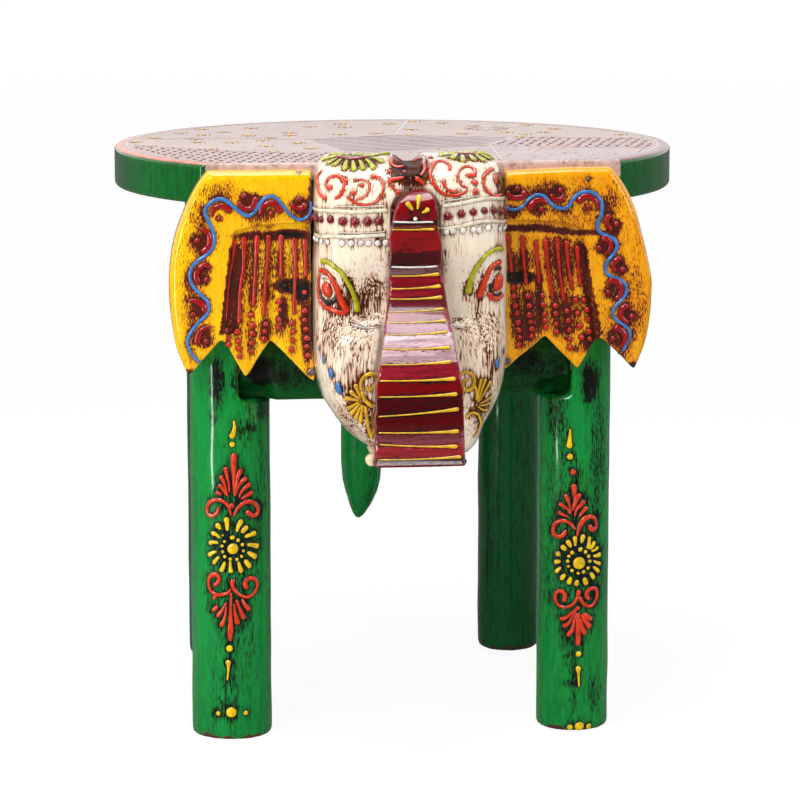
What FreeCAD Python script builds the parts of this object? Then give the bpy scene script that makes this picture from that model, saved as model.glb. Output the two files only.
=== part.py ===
import FreeCAD, Part
import math
import os
import Sketcher

# Carved elephant stool, in millimetres, +Z up. The origin is on the floor under the middle
# of the stool's box. The head looks along -Y. Left and right are as seen from the front.

doc = FreeCAD.newDocument("elephant_stool")
sheet = doc.addObject("Spreadsheet::Sheet", "Sizes")

driving = [
    # Seat
    ("seatDiameter", 300), ("seatThick", 21), ("seatTopHeight", 303), ("seatFrontCut", 46),
    ("seatTopBevel", 1.5), ("seatUnderBevel", 2.5),
    # Where the legs stand, in from the seat's rim
    ("frameShift", 3), ("rearShift", 4), ("frontLegInset", 59.5), ("rearLegInset", 66),
    ("rearLegBack", 56), ("frontLeftDiameter", 41.8), ("frontRightDiameter", 38),
    ("rearDiameter", 35.4), ("footBevel", 1.2), ("spigotDiameter", 20), ("spigotLength", 12),
    # The flat planed on the front legs behind the ears
    ("flatDepth", 1.5), ("flatBelowEar", 2.3), ("flatRun", 44),
    # Boards between the legs
    ("boardHeight", 102), ("frontBoardThick", 16), ("sideBoardThick", 14), ("rearBoardThick", 14),
    ("frontBoardStop", 4), ("sideBoardFrontStop", 6), ("sideBoardRearStop", 12),
    ("rearBoardStop", 8), ("dowelDiameter", 8), ("dowelInBoard", 15), ("dowelInLeg", 14),
    ("sideDowelInLeg", 7),
    # Head
    ("headWidth", 99), ("headDepth", 50), ("headAboveSeat", 4.5), ("headHeight", 155.5),
    ("partingRadius", 9), ("partingDepth", 4),
    # Trunk
    ("trunkBelowHead", 13.5), ("trunkHeight", 134), ("trunkReach", 102), ("trunkSeatSink", 10),
    ("trunkTopWidth", 24), ("trunkNeckWidth", 26), ("trunkLowWidth", 44),
    ("trunkPegDiameter", 8), ("trunkPegInTrunk", 8), ("trunkPegInHead", 14),
    ("trunkPegDrop", 14), ("trunkPegRise", 28),
    # Tusks
    ("tuskSpread", 47), ("tuskAboveChin", 6), ("tuskDiameter", 5.8), ("tuskDome", 4),
    ("tuskInHead", 14), ("tuskStandOut", 8),
    # Ears
    ("earThick", 14), ("earInset", 25.5), ("earBelowSeat", 1), ("earHeight", 105.7),
    ("earNotchRise", 16.9), ("earEdgeRound", 5), ("foldSink", 3.5), ("fluteCount", 3),
    ("fluteRadius", 6), ("fluteDepth", 1.4), ("fluteSpacing", 11.5),
    # Tail
    ("tailDiameter", 24), ("tailLapHeight", 57), ("tailLength", 161), ("tailLap", 2.5),
    # Screws
    ("screwDiameter", 3.4), ("screwHead", 6), ("screwHeadDepth", 2), ("screwPoint", 4),
    ("headScrewBite", 24), ("earScrewBite", 12), ("tailScrewBite", 12),
    # Fits
    ("fitGap", 0.1), ("seamGap", 0.3), ("cutOver", 2),
]

# Two places nearer than this count as one when an edge is looked for
sameSpot = 0.01


class Size:
    # A number kept with the sheet expression that gives it.
    def __init__(self, value, text):
        self.value = value
        self.text = text

    def __add__(self, other):
        return Size(self.value + number(other), "(%s + %s)" % (self.text, words(other)))

    def __radd__(self, other):
        return Size(number(other) + self.value, "(%s + %s)" % (words(other), self.text))

    def __sub__(self, other):
        return Size(self.value - number(other), "(%s - %s)" % (self.text, words(other)))

    def __rsub__(self, other):
        return Size(number(other) - self.value, "(%s - %s)" % (words(other), self.text))

    def __mul__(self, other):
        return Size(self.value * number(other), "(%s * %s)" % (self.text, words(other)))

    def __rmul__(self, other):
        return self * other

    def __truediv__(self, other):
        return Size(self.value / number(other), "(%s / %s)" % (self.text, words(other)))

    def __neg__(self):
        return Size(-self.value, "(-1 * %s)" % self.text)


def number(item):
    return item.value if isinstance(item, Size) else item


def words(item):
    return item.text if isinstance(item, Size) else repr(item)


def thirdSide(long, short):
    # The other short side of a right triangle.
    return Size(math.sqrt(long.value ** 2 - short.value ** 2),
                "sqrt(%s ^ 2 - %s ^ 2)" % (long.text, short.text))


class Sizes:
    pass


S = Sizes()
for row, (alias, value) in enumerate(driving, 1):
    sheet.set("A%d" % row, alias)
    sheet.set("B%d" % row, str(value))
    sheet.setAlias("B%d" % row, alias)
    setattr(S, alias, Size(float(value), "Sizes." + alias))
doc.recompute()


# Helpers for bodies, sketches and solids

def bind(item, prop, value):
    if isinstance(value, Size):
        item.setExpression(prop, value.text)
    else:
        setattr(item, prop, value)


def place(item, spot, rotation=FreeCAD.Rotation()):
    item.Placement = FreeCAD.Placement(FreeCAD.Vector(*[number(part) for part in spot]), rotation)
    for axis, part in zip("xyz", spot):
        if isinstance(part, Size):
            item.setExpression(".Placement.Base." + axis, part.text)


def newBody(name, spot):
    body = doc.addObject("PartDesign::Body", name)
    body.Label = name
    place(body, spot)
    return body


def planeOf(body, role):
    return [item for item in body.Origin.OriginFeatures if item.Role == role][0]


def vector(point):
    return FreeCAD.Vector(number(point[0]), number(point[1]), 0)


def pin(sketch, geometry, end, point):
    # Holds one end of a line or arc at a place given by two sizes.
    for kind, axis, part in (("DistanceX", -2, point[0]), ("DistanceY", -1, point[1])):
        if isinstance(part, Size):
            index = sketch.addConstraint(Sketcher.Constraint(kind, geometry, end, part.value))
            sketch.setExpression("Constraints[%d]" % index, part.text)
        else:
            sketch.addConstraint(Sketcher.Constraint("PointOnObject", geometry, end, axis))


def outline(body, name, role, points, through=None, lift=None):
    # A closed outline: straight from each point to the next, or an arc through a third place.
    through = through or {}
    sketch = body.newObject("Sketcher::SketchObject", name)
    sketch.AttachmentSupport = (planeOf(body, role), [""])
    sketch.MapMode = "FlatFace"
    if lift is not None:
        sketch.setExpression(".AttachmentOffset.Base.z", lift.text)
    ends = []
    for index, start in enumerate(points):
        stop = points[(index + 1) % len(points)]
        first, last = vector(start), vector(stop)
        if index in through:
            middle = vector(through[index])
            turn = (middle - first).cross(last - middle).z
            if turn > 0:
                arc = sketch.addGeometry(Part.Arc(first, middle, last), False)
                ends.append((arc, 1, 2))
            else:
                arc = sketch.addGeometry(Part.Arc(last, middle, first), False)
                ends.append((arc, 2, 1))
            spot = sketch.addGeometry(Part.Point(middle), True)
            pin(sketch, spot, 1, through[index])
            sketch.addConstraint(Sketcher.Constraint("PointOnObject", spot, 1, arc))
        else:
            line = sketch.addGeometry(Part.LineSegment(first, last), False)
            ends.append((line, 1, 2))
    for index, (geometry, start, stop) in enumerate(ends):
        pin(sketch, geometry, start, points[index])
        follow, begin, finish = ends[(index + 1) % len(ends)]
        sketch.addConstraint(Sketcher.Constraint("Coincident", geometry, stop, follow, begin))
    return sketch


def circle(body, name, role, radius, lift=None):
    sketch = body.newObject("Sketcher::SketchObject", name)
    sketch.AttachmentSupport = (planeOf(body, role), [""])
    sketch.MapMode = "FlatFace"
    if lift is not None:
        sketch.setExpression(".AttachmentOffset.Base.z", lift.text)
    ring = Part.Circle(FreeCAD.Vector(0, 0, 0), FreeCAD.Vector(0, 0, 1), radius.value)
    sketch.addGeometry(ring, False)
    sketch.addConstraint(Sketcher.Constraint("Coincident", 0, 3, -1, 1))
    index = sketch.addConstraint(Sketcher.Constraint("Radius", 0, radius.value))
    sketch.setExpression("Constraints[%d]" % index, radius.text)
    return sketch


def pad(body, name, sketch, length, both=False):
    feature = body.newObject("PartDesign::Pad", name)
    feature.Profile = sketch
    feature.Midplane = both
    bind(feature, "Length", length)
    doc.recompute()
    return feature


def pocket(body, name, sketch, length, both=False):
    before = body.Shape.Volume
    feature = body.newObject("PartDesign::Pocket", name)
    feature.Profile = sketch
    feature.Midplane = both
    bind(feature, "Length", length)
    doc.recompute()
    if body.Shape.Volume >= before:
        raise ValueError(name + " cuts nothing")
    return feature


def cutBox(body, name, low, high):
    # Takes away the box between two corners, given in the body's own frame.
    before = body.Shape.Volume
    feature = body.newObject("PartDesign::SubtractiveBox", name)
    for prop, start, stop in zip(("Length", "Width", "Height"), low, high):
        bind(feature, prop, stop - start)
    place(feature, low)
    doc.recompute()
    if body.Shape.Volume >= before:
        raise ValueError(name + " cuts nothing")
    return feature


turnTo = {
    "+X": FreeCAD.Rotation(FreeCAD.Vector(0, 1, 0), 90),
    "-X": FreeCAD.Rotation(FreeCAD.Vector(0, 1, 0), -90),
    "+Y": FreeCAD.Rotation(FreeCAD.Vector(1, 0, 0), -90),
    "-Y": FreeCAD.Rotation(FreeCAD.Vector(1, 0, 0), 90),
    "+Z": FreeCAD.Rotation(),
}


def cutHole(body, name, spot, way, radius, length):
    # Takes away a round hole that starts at a spot and runs along an axis.
    before = body.Shape.Volume
    feature = body.newObject("PartDesign::SubtractiveCylinder", name)
    bind(feature, "Radius", radius)
    bind(feature, "Height", length)
    place(feature, spot, turnTo[way])
    doc.recompute()
    if body.Shape.Volume >= before:
        raise ValueError(name + " cuts nothing")
    return feature


def trimEdges(body, name, base, size, wanted, kind):
    # Rounds or bevels the edges of a feature for which wanted(edge) is true.
    names = ["Edge%d" % index for index, edge in enumerate(base.Shape.Edges, 1) if wanted(edge)]
    feature = body.newObject(kind, name)
    feature.Base = (base, names)
    bind(feature, "Radius" if kind.endswith("Fillet") else "Size", size)
    doc.recompute()
    return feature


def minus(spot, origin):
    return tuple(part - start for part, start in zip(spot, origin))


def rod(name, spot, way, radius, length):
    item = doc.addObject("Part::Cylinder", name)
    bind(item, "Radius", radius)
    bind(item, "Height", length)
    place(item, spot, turnTo[way])
    return item


def cone(name, spot, way, near, far, length):
    item = doc.addObject("Part::Cone", name)
    bind(item, "Radius1", near)
    bind(item, "Radius2", far)
    bind(item, "Height", length)
    place(item, spot, turnTo[way])
    return item


def group(name, items):
    item = doc.addObject("Part::Compound", name)
    item.Links = items
    item.Label = name
    return item


opposite = {"+X": "-X", "-X": "+X", "+Y": "-Y", "-Y": "+Y"}
stepOf = {"+X": (1, 0), "-X": (-1, 0), "+Y": (0, 1), "-Y": (0, -1)}


# Places that several pieces share

seatRadius = S.seatDiameter / 2
seatUnder = S.seatTopHeight - S.seatThick
seatFrontReach = seatRadius - S.seatFrontCut
seatY = (seatFrontReach + S.trunkReach - seatRadius) / 2
frontPlane = seatY - seatFrontReach
frameX = -S.frameShift
rearX = frameX - S.rearShift
boardFoot = seatUnder - S.boardHeight
frontBoardY = frontPlane + S.frontBoardThick / 2
rearBoardY = seatY + seatRadius - S.rearLegBack

headTop = S.seatTopHeight + S.headAboveSeat
headBottom = headTop - S.headHeight
trunkTop = headTop - S.trunkBelowHead
trunkTip = trunkTop - S.trunkHeight
trunkSeatDepth = S.headDepth - S.trunkSeatSink
trunkPegHeights = [trunkTop - S.trunkPegDrop - S.trunkPegRise, trunkTop - S.trunkPegDrop]
tuskHeight = headBottom + S.tuskAboveChin
earTop = S.seatTopHeight - S.earBelowSeat
earTip = earTop - S.earHeight
earReach = seatRadius - S.earInset
flatFoot = earTip - S.flatBelowEar
flatRunOut = flatFoot - S.flatRun

legRadius = {
    "front_left": S.frontLeftDiameter / 2,
    "front_right": S.frontRightDiameter / 2,
    "rear_left": S.rearDiameter / 2,
    "rear_right": S.rearDiameter / 2,
}
legSpot = {
    "front_left": (frameX + S.frontLegInset - seatRadius,
                   frontPlane - S.flatDepth + legRadius["front_left"], 0),
    "front_right": (frameX - S.frontLegInset + seatRadius,
                    frontPlane - S.flatDepth + legRadius["front_right"], 0),
    "rear_left": (rearX + S.rearLegInset - seatRadius, rearBoardY, 0),
    "rear_right": (rearX - S.rearLegInset + seatRadius, rearBoardY, 0),
}
sideSign = {"left": -1, "right": 1}
sideBoardX = {
    side: (legSpot["front_" + side][0] + legSpot["rear_" + side][0]) / 2 for side in sideSign
}

# The boards' end faces inside the legs
frontBoardEnds = {
    side: legSpot["front_" + side][0] - sign * S.frontBoardStop for side, sign in sideSign.items()
}
rearBoardEnds = {
    side: legSpot["rear_" + side][0] - sign * S.rearBoardStop for side, sign in sideSign.items()
}
sideBoardFronts = {side: legSpot["front_" + side][1] + S.sideBoardFrontStop for side in sideSign}
sideBoardRears = {side: legSpot["rear_" + side][1] - S.sideBoardRearStop for side in sideSign}

# The dowels' heights, as shares of the board's, so that they pass each other inside the legs
longDowelShares = (0.150, 0.765)
sideDowelShares = (0.373, 0.627)
longDowelHeights = [boardFoot + S.boardHeight * share for share in longDowelShares]
sideDowelHeights = [boardFoot + S.boardHeight * share for share in sideDowelShares]
dowelRadius = S.dowelDiameter / 2
dowelHole = dowelRadius + S.fitGap


def dowelPlan():
    # Every dowel between a board and a leg: the leg, the board, the meeting face, its way into
    # the leg and how deep it goes there.
    plan = []
    for side, sign in sideSign.items():
        toSide = "+X" if sign > 0 else "-X"
        for height in longDowelHeights:
            face = (frontBoardEnds[side], frontBoardY, height)
            plan.append(("front_" + side, "front", face, toSide, S.dowelInLeg))
            face = (rearBoardEnds[side], rearBoardY, height)
            plan.append(("rear_" + side, "rear", face, toSide, S.dowelInLeg))
        for height in sideDowelHeights:
            face = (sideBoardX[side], sideBoardFronts[side], height)
            plan.append(("front_" + side, side, face, "-Y", S.sideDowelInLeg))
            face = (sideBoardX[side], sideBoardRears[side], height)
            plan.append(("rear_" + side, side, face, "+Y", S.sideDowelInLeg))
    return plan


dowels = dowelPlan()

earWidth = earReach - S.headWidth / 2


def earPlace(sign, across, height):
    # A place on an ear from its share of the way out from the head, and its height.
    return (sign * (S.headWidth / 2 + S.seamGap + (earWidth - S.seamGap) * across), height)


# Where the screws go: across the head and up the front board, up the tail's lap, and across
# and up each ear, the upper one up the seat's edge
headScrewShares = [(-0.5, 0.25), (0.5, 0.25), (0, 0.75)]
tailScrewShares = [0.32, 0.72]
earLowScrewShares = (0.055, 0.075)
earHighScrewShares = (0.140, 0.500)
screwHole = S.screwDiameter / 2 + S.fitGap


def screwPlan():
    # Every screw: its group, the piece that its head is sunk in, the piece that it bites into,
    # the middle of its head, the seam between the two pieces, its way and its bite.
    plan = []

    def add(name, through, into, head, seam, way, bite):
        plan.append({"group": name, "through": through, "into": into, "head": head, "seam": seam,
                     "way": way, "bite": bite})

    inner = frontPlane + S.frontBoardThick
    for across, up in headScrewShares:
        x = frameX + S.headWidth / 2 * across
        z = boardFoot + S.boardHeight * up
        add("head_screws", "apron_front", "head", (x, inner, z), (x, frontPlane, z), "-Y",
            S.headScrewBite)
    foldFace = frontPlane - (S.earThick - S.foldSink - S.fluteDepth)
    for side, sign in sideSign.items():
        across, up = earLowScrewShares
        x = frameX + earPlace(sign, across, 0)[0]
        z = earTip + S.earHeight * up
        add("ear_screws", "ear_" + side, "apron_front", (x, foldFace, z), (x, frontPlane, z), "+Y",
            S.earScrewBite)
        across, up = earHighScrewShares
        x = frameX + earPlace(sign, across, 0)[0]
        z = seatUnder + S.seatThick * up
        add("ear_screws", "ear_" + side, "seat_top", (x, frontPlane - S.earThick, z),
            (x, frontPlane, z), "+Y", S.earScrewBite)
    rearInner = rearBoardY - S.rearBoardThick / 2
    rearOuter = rearBoardY + S.rearBoardThick / 2
    for up in tailScrewShares:
        z = boardFoot + S.tailLapHeight * up
        add("tail_screws", "apron_rear", "tail", (rearX, rearInner, z), (rearX, rearOuter, z), "+Y",
            S.tailScrewBite)
    return plan


def screwRun(plan):
    # How far a screw runs before it reaches the piece it bites into.
    return (plan["head"][1] - plan["seam"][1]) * (-stepOf[plan["way"]][1])


def sinkScrew(body, name, spot, plan):
    # A through hole for the shank and a cone for the head.
    cutHole(body, name, spot, plan["way"], screwHole, screwRun(plan) + S.cutOver)
    before = body.Shape.Volume
    feature = body.newObject("PartDesign::SubtractiveCone", name + "_sink")
    bind(feature, "Radius1", S.screwHead / 2 + S.fitGap)
    bind(feature, "Radius2", screwHole)
    bind(feature, "Height", S.screwHeadDepth)
    place(feature, spot, turnTo[plan["way"]])
    doc.recompute()
    if body.Shape.Volume >= before:
        raise ValueError(name + " sink cuts nothing")


screws = screwPlan()


def along(spot, way, length):
    step = stepOf[way]
    return (spot[0] + step[0] * length, spot[1] + step[1] * length, spot[2])


# Seat: a round board cut straight across the front, with a blind hole for each leg

def makeSeat():
    origin = (0, seatY, seatUnder)
    body = newBody("seat_top", origin)
    halfChord = thirdSide(seatRadius, seatFrontReach)
    corners = [(halfChord, -seatFrontReach), (-halfChord, -seatFrontReach)]
    sketch = outline(body, "seat_outline", "XY_Plane", corners, {0: (0, seatRadius)})
    plate = pad(body, "seat_board", sketch, S.seatThick)
    middle = S.seatThick.value / 2
    upper = trimEdges(body, "seat_upper_bevel", plate, S.seatTopBevel,
                      lambda edge: edge.BoundBox.ZMin > middle and edge.BoundBox.YMax > 0,
                      "PartDesign::Chamfer")
    trimEdges(body, "seat_under_bevel", upper, S.seatUnderBevel,
              lambda edge: edge.BoundBox.ZMax < sameSpot and edge.BoundBox.YMax > 0,
              "PartDesign::Chamfer")
    for name, spot in legSpot.items():
        hole = minus((spot[0], spot[1], seatUnder), origin)
        cutHole(body, "hole_" + name, hole, "+Z", S.spigotDiameter / 2 + S.fitGap,
                S.spigotLength + S.fitGap)
    for index, plan in enumerate(screws):
        if plan["into"] == "seat_top":
            cutHole(body, "screw_hole_%d" % index, minus(plan["seam"], origin), plan["way"],
                    screwHole, plan["bite"] + S.fitGap)
    return body


# Legs: round posts with a spigot on top, the boards let into them

def makeLeg(name):
    origin = legSpot[name]
    radius = legRadius[name]
    body = newBody("leg_" + name, origin)
    post = pad(body, name + "_post", circle(body, name + "_round", "XY_Plane", radius), seatUnder)
    trimEdges(body, name + "_foot", post, S.footBevel,
              lambda edge: edge.BoundBox.ZMax < sameSpot, "PartDesign::Chamfer")
    spigot = circle(body, name + "_spigot_round", "XY_Plane", S.spigotDiameter / 2, seatUnder)
    pad(body, name + "_spigot", spigot, S.spigotLength)
    front = name.startswith("front")
    side = name.split("_")[1]
    sign = sideSign[side]
    if front:
        flat = S.flatDepth - radius
        clear = -radius - S.cutOver
        points = [(clear, seatUnder), (flat, seatUnder), (flat, flatFoot), (-radius, flatRunOut),
                  (clear, flatRunOut)]
        sketch = outline(body, name + "_flat_side", "YZ_Plane", points)
        pocket(body, name + "_flat", sketch, 2 * radius + S.cutOver, both=True)
        longEnd = frontBoardEnds[side] + sign * S.fitGap
        longY = frontBoardY
        longThick = S.frontBoardThick
        crossY = (sideBoardFronts[side] - S.fitGap, origin[1] + radius + S.cutOver)
    else:
        longEnd = rearBoardEnds[side] + sign * S.fitGap
        longY = rearBoardY
        longThick = S.rearBoardThick
        crossY = (origin[1] - radius - S.cutOver, sideBoardRears[side] + S.fitGap)
    inner = origin[0] - sign * (radius + S.cutOver)
    low, high = (longEnd, inner) if sign < 0 else (inner, longEnd)
    foot = boardFoot - S.fitGap
    slotLow = longY - longThick / 2 - S.fitGap
    if front:
        slotLow = slotLow - S.cutOver
    cutBox(body, name + "_long_slot", minus((low, slotLow, foot), origin),
           minus((high, longY + longThick / 2 + S.fitGap, seatUnder), origin))
    cutBox(body, name + "_side_slot",
           minus((sideBoardX[side] - S.sideBoardThick / 2 - S.fitGap, crossY[0], foot), origin),
           minus((sideBoardX[side] + S.sideBoardThick / 2 + S.fitGap, crossY[1], seatUnder), origin))
    for index, (leg, board, face, way, depth) in enumerate(dowels):
        if leg == name:
            cutHole(body, "%s_dowel_%d" % (name, index), minus(face, origin), way, dowelHole,
                    depth + S.fitGap)
    return body


# Boards between the legs, under the seat

def makeBoard(name, low, high):
    body = newBody("apron_" + name, (low[0], low[1], boardFoot))
    length, width = high[0] - low[0], high[1] - low[1]
    sketch = outline(body, name + "_plan", "XY_Plane",
                     [(0, 0), (length, 0), (length, width), (0, width)])
    pad(body, name + "_board", sketch, S.boardHeight)
    origin = (low[0], low[1], boardFoot)
    for index, (leg, board, face, way, depth) in enumerate(dowels):
        if board == name:
            cutHole(body, "%s_dowel_%d" % (name, index), minus(face, origin), opposite[way],
                    dowelHole, S.dowelInBoard + S.fitGap)
    for index, plan in enumerate(screws):
        if plan["through"] == "apron_" + name:
            sinkScrew(body, "%s_screw_%d" % (name, index), minus(plan["head"], origin), plan)
        if plan["into"] == "apron_" + name:
            cutHole(body, "%s_screw_%d" % (name, index), minus(plan["seam"], origin), plan["way"],
                    screwHole, plan["bite"] + S.fitGap)
    return body


def makeBoards():
    halfFront = S.frontBoardThick / 2
    halfRear = S.rearBoardThick / 2
    halfSide = S.sideBoardThick / 2
    front = makeBoard("front", (frontBoardEnds["left"], frontBoardY - halfFront),
                      (frontBoardEnds["right"], frontBoardY + halfFront))
    rear = makeBoard("rear", (rearBoardEnds["left"], rearBoardY - halfRear),
                     (rearBoardEnds["right"], rearBoardY + halfRear))
    sides = [makeBoard(side, (sideBoardX[side] - halfSide, sideBoardFronts[side]),
                       (sideBoardX[side] + halfSide, sideBoardRears[side])) for side in sideSign]
    return [front, rear] + sides


def makeDowels():
    items = []
    for index, (leg, board, face, way, depth) in enumerate(dowels):
        start = along(face, opposite[way], S.dowelInBoard)
        items.append(rod("dowel_%d" % index, start, way, dowelRadius, S.dowelInBoard + depth))
    return group("apron_dowels", items)


# Head: lofted through level sections. Each row gives the height, the half width, the depth of the
# flat side, the corner's half width and depth, and the depth in the middle, as shares of the
# head's height, half width and depth.

browDepthShare = 0.92
headShares = [
    (0.000, 0.42, 0.24, 0.32, 0.52, 0.60),
    (0.051, 0.63, 0.32, 0.47, 0.68, 0.78),
    (0.129, 0.83, 0.40, 0.62, 0.83, 0.93),
    (0.219, 0.95, 0.44, 0.74, 0.91, 1.00),
    (0.334, 1.00, 0.44, 0.80, 0.91, 1.00),
    (0.424, 1.00, 0.42, 0.80, 0.84, 0.93),
    (0.489, 1.00, 0.38, 0.80, 0.73, 0.82),
    (0.579, 1.00, 0.38, 0.80, 0.74, 0.83),
    (0.682, 1.00, 0.42, 0.81, 0.82, browDepthShare),
    (0.855, 1.00, 0.42, 0.81, 0.82, browDepthShare),
    (0.939, 0.98, 0.40, 0.78, 0.76, 0.86),
    (0.977, 0.91, 0.32, 0.70, 0.64, 0.73),
    (1.000, 0.78, 0.20, 0.58, 0.44, 0.52),
]
cornerBulgeShare = 0.78
faceOrigin = (frameX, frontPlane, 0)


def trunkOutlinePoints(gap):
    # The trunk from the front: a round cap, a slim neck and a broad lower end.
    top = S.trunkTopWidth / 2 + gap
    neck = S.trunkNeckWidth / 2 + gap
    low = S.trunkLowWidth / 2 + gap
    capFoot = trunkTop - S.trunkTopWidth / 2
    neckHeight = trunkTip + S.trunkHeight * neckHeightShare
    broad = low * broadWidthShare
    broadHeight = trunkTip + S.trunkHeight * broadHeightShare
    foot = trunkTip - S.cutOver
    points = [(top, capFoot), (-top, capFoot), (-neck, neckHeight), (-broad, broadHeight),
              (-low, foot), (low, foot), (broad, broadHeight), (neck, neckHeight)]
    middleHeight = trunkTip + S.trunkHeight * slopeHeightShare
    slope = low * slopeWidthShare
    through = {0: (0, trunkTop + gap), 2: (-slope, middleHeight), 6: (slope, middleHeight)}
    return points, through


neckHeightShare = 0.70
broadHeightShare = 0.30
broadWidthShare = 0.955
slopeHeightShare = 0.50
slopeWidthShare = 0.75


def makeHead():
    body = newBody("head", faceOrigin)
    half = S.headWidth / 2
    sections = []
    for index, (rise, wide, side, cornerWide, cornerDeep, deep) in enumerate(headShares):
        w, f = half * wide, S.headDepth * side
        cw, cf = half * cornerWide, S.headDepth * cornerDeep
        bulgeX = cw + (w - cw) * cornerBulgeShare
        bulgeY = f + (cf - f) * (1 - cornerBulgeShare) + (cf - f) * (2 * cornerBulgeShare - 1) / 2
        points = [(w, 0), (-w, 0), (-w, -f), (-cw, -cf), (cw, -cf), (w, -f)]
        through = {2: (-bulgeX, -bulgeY), 3: (0, -(S.headDepth * deep)), 4: (bulgeX, -bulgeY)}
        sections.append(outline(body, "head_section_%d" % index, "XY_Plane", points, through,
                                headBottom + S.headHeight * rise))
    loft = body.newObject("PartDesign::AdditiveLoft", "head_block")
    loft.Profile = sections[0]
    loft.Sections = sections[1:]
    doc.recompute()
    # Whatever the loft bulges past the flat sides is planed off
    far = half + S.headDepth
    for sign, low, high in ((-1, -far, -half), (1, half, far)):
        feature = body.newObject("PartDesign::SubtractiveBox", "head_side_%d" % (sign + 1))
        bind(feature, "Length", high - low)
        bind(feature, "Width", 2 * S.headDepth)
        bind(feature, "Height", S.headHeight + 2 * S.cutOver)
        place(feature, (low, -(2 * S.headDepth) + S.cutOver, headBottom - S.cutOver))
        doc.recompute()
    # The parting between the two domes, over the top and down the forehead
    sunk = S.partingRadius - S.partingDepth
    cutHole(body, "parting_top", (0, S.cutOver, headTop + sunk), "-Y", S.partingRadius,
            S.headDepth + 2 * S.cutOver)
    browFace = S.headDepth * browDepthShare
    cutHole(body, "parting_front", (0, -browFace - sunk, trunkTop - S.partingRadius), "+Z",
            S.partingRadius, S.trunkBelowHead + S.partingRadius)
    # The flat that the trunk's upper end sits on
    points, through = trunkOutlinePoints(S.seamGap)
    deep = S.headDepth + S.cutOver
    sketch = outline(body, "trunk_seat_outline", "XZ_Plane", points, through, deep)
    pocket(body, "trunk_seat", sketch, deep - trunkSeatDepth)
    for index, height in enumerate(trunkPegHeights):
        cutHole(body, "peg_hole_%d" % index, (0, -trunkSeatDepth, height), "+Y",
                S.trunkPegDiameter / 2 + S.fitGap, S.trunkPegInHead + S.fitGap)
    for sign in (-1, 1):
        cutHole(body, "tusk_hole_%d" % (sign + 1),
                (sign * S.tuskSpread / 2, -S.headDepth, tuskHeight), "+Y",
                S.tuskDiameter / 2 + S.fitGap, S.headDepth - tuskRoot + S.fitGap)
    for index, plan in enumerate(screws):
        if plan["into"] == "head":
            cutHole(body, "screw_hole_%d" % index, minus(plan["seam"], faceOrigin), plan["way"],
                    screwHole, plan["bite"] + S.fitGap)
    return body


# Trunk: its side profile, trimmed to its front outline

trunkFrontShares = [
    # forward from the seat flat to the reach, and up from the tip to the top
    (0.000, 1.000), (0.080, 0.995), (0.258, 0.925), (0.258, 0.700), (0.400, 0.560),
    (0.810, 0.335), (0.855, 0.160), (1.000, 0.020), (0.640, 0.000), (0.500, 0.100),
    (0.470, 0.300), (0.200, 0.530), (0.000, 0.600),
]
trunkBulgeShares = {
    1: (0.195, 0.978), 3: (0.300, 0.630), 4: (0.640, 0.460), 6: (0.900, 0.075),
    10: (0.370, 0.430),
}


def makeTrunk():
    body = newBody("trunk", faceOrigin)
    run = S.trunkReach - trunkSeatDepth

    def at(shares):
        return (-(trunkSeatDepth + run * shares[0]), trunkTip + S.trunkHeight * shares[1])

    points = [at(shares) for shares in trunkFrontShares]
    through = {index: at(shares) for index, shares in trunkBulgeShares.items()}
    sketch = outline(body, "trunk_profile", "YZ_Plane", points, through)
    wide = S.trunkLowWidth + 2 * S.cutOver
    pad(body, "trunk_block", sketch, wide, both=True)
    points, through = trunkOutlinePoints(0)
    before = body.Shape.Volume
    mask = outline(body, "trunk_front", "XZ_Plane", points, through)
    far = wide + S.cutOver
    bottom, top = trunkTip - far, trunkTop + far
    addLoop(mask, [(-far, bottom), (far, bottom), (far, top), (-far, top)])
    trim = body.newObject("PartDesign::Pocket", "trunk_trim")
    trim.Profile = mask
    trim.Midplane = True
    bind(trim, "Length", 2 * S.trunkReach + 2 * S.cutOver)
    doc.recompute()
    if body.Shape.Volume >= before:
        raise ValueError("trunk trim cuts nothing")
    for index, height in enumerate(trunkPegHeights):
        cutHole(body, "trunk_peg_hole_%d" % index, (0, -trunkSeatDepth, height), "-Y",
                S.trunkPegDiameter / 2 + S.fitGap, S.trunkPegInTrunk + S.fitGap)
    return body


def addLoop(sketch, points):
    # A second, straight-sided loop in a sketch.
    lines = []
    for index, start in enumerate(points):
        stop = points[(index + 1) % len(points)]
        lines.append(sketch.addGeometry(Part.LineSegment(vector(start), vector(stop)), False))
    for index, line in enumerate(lines):
        pin(sketch, line, 1, points[index])
        follow = lines[(index + 1) % len(lines)]
        sketch.addConstraint(Sketcher.Constraint("Coincident", line, 2, follow, 1))


def makePegs():
    items = []
    for index, height in enumerate(trunkPegHeights):
        spot = (frameX, frontPlane - trunkSeatDepth + S.trunkPegInHead, height)
        items.append(rod("peg_%d" % index, spot, "-Y", S.trunkPegDiameter / 2,
                         S.trunkPegInHead + S.trunkPegInTrunk))
    return group("trunk_pegs", items)


# Tusks: short turned pegs with a domed end beside the trunk's tip

tuskFaceShare = 0.66
tuskRoot = S.headDepth * tuskFaceShare - S.tuskInHead


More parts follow.
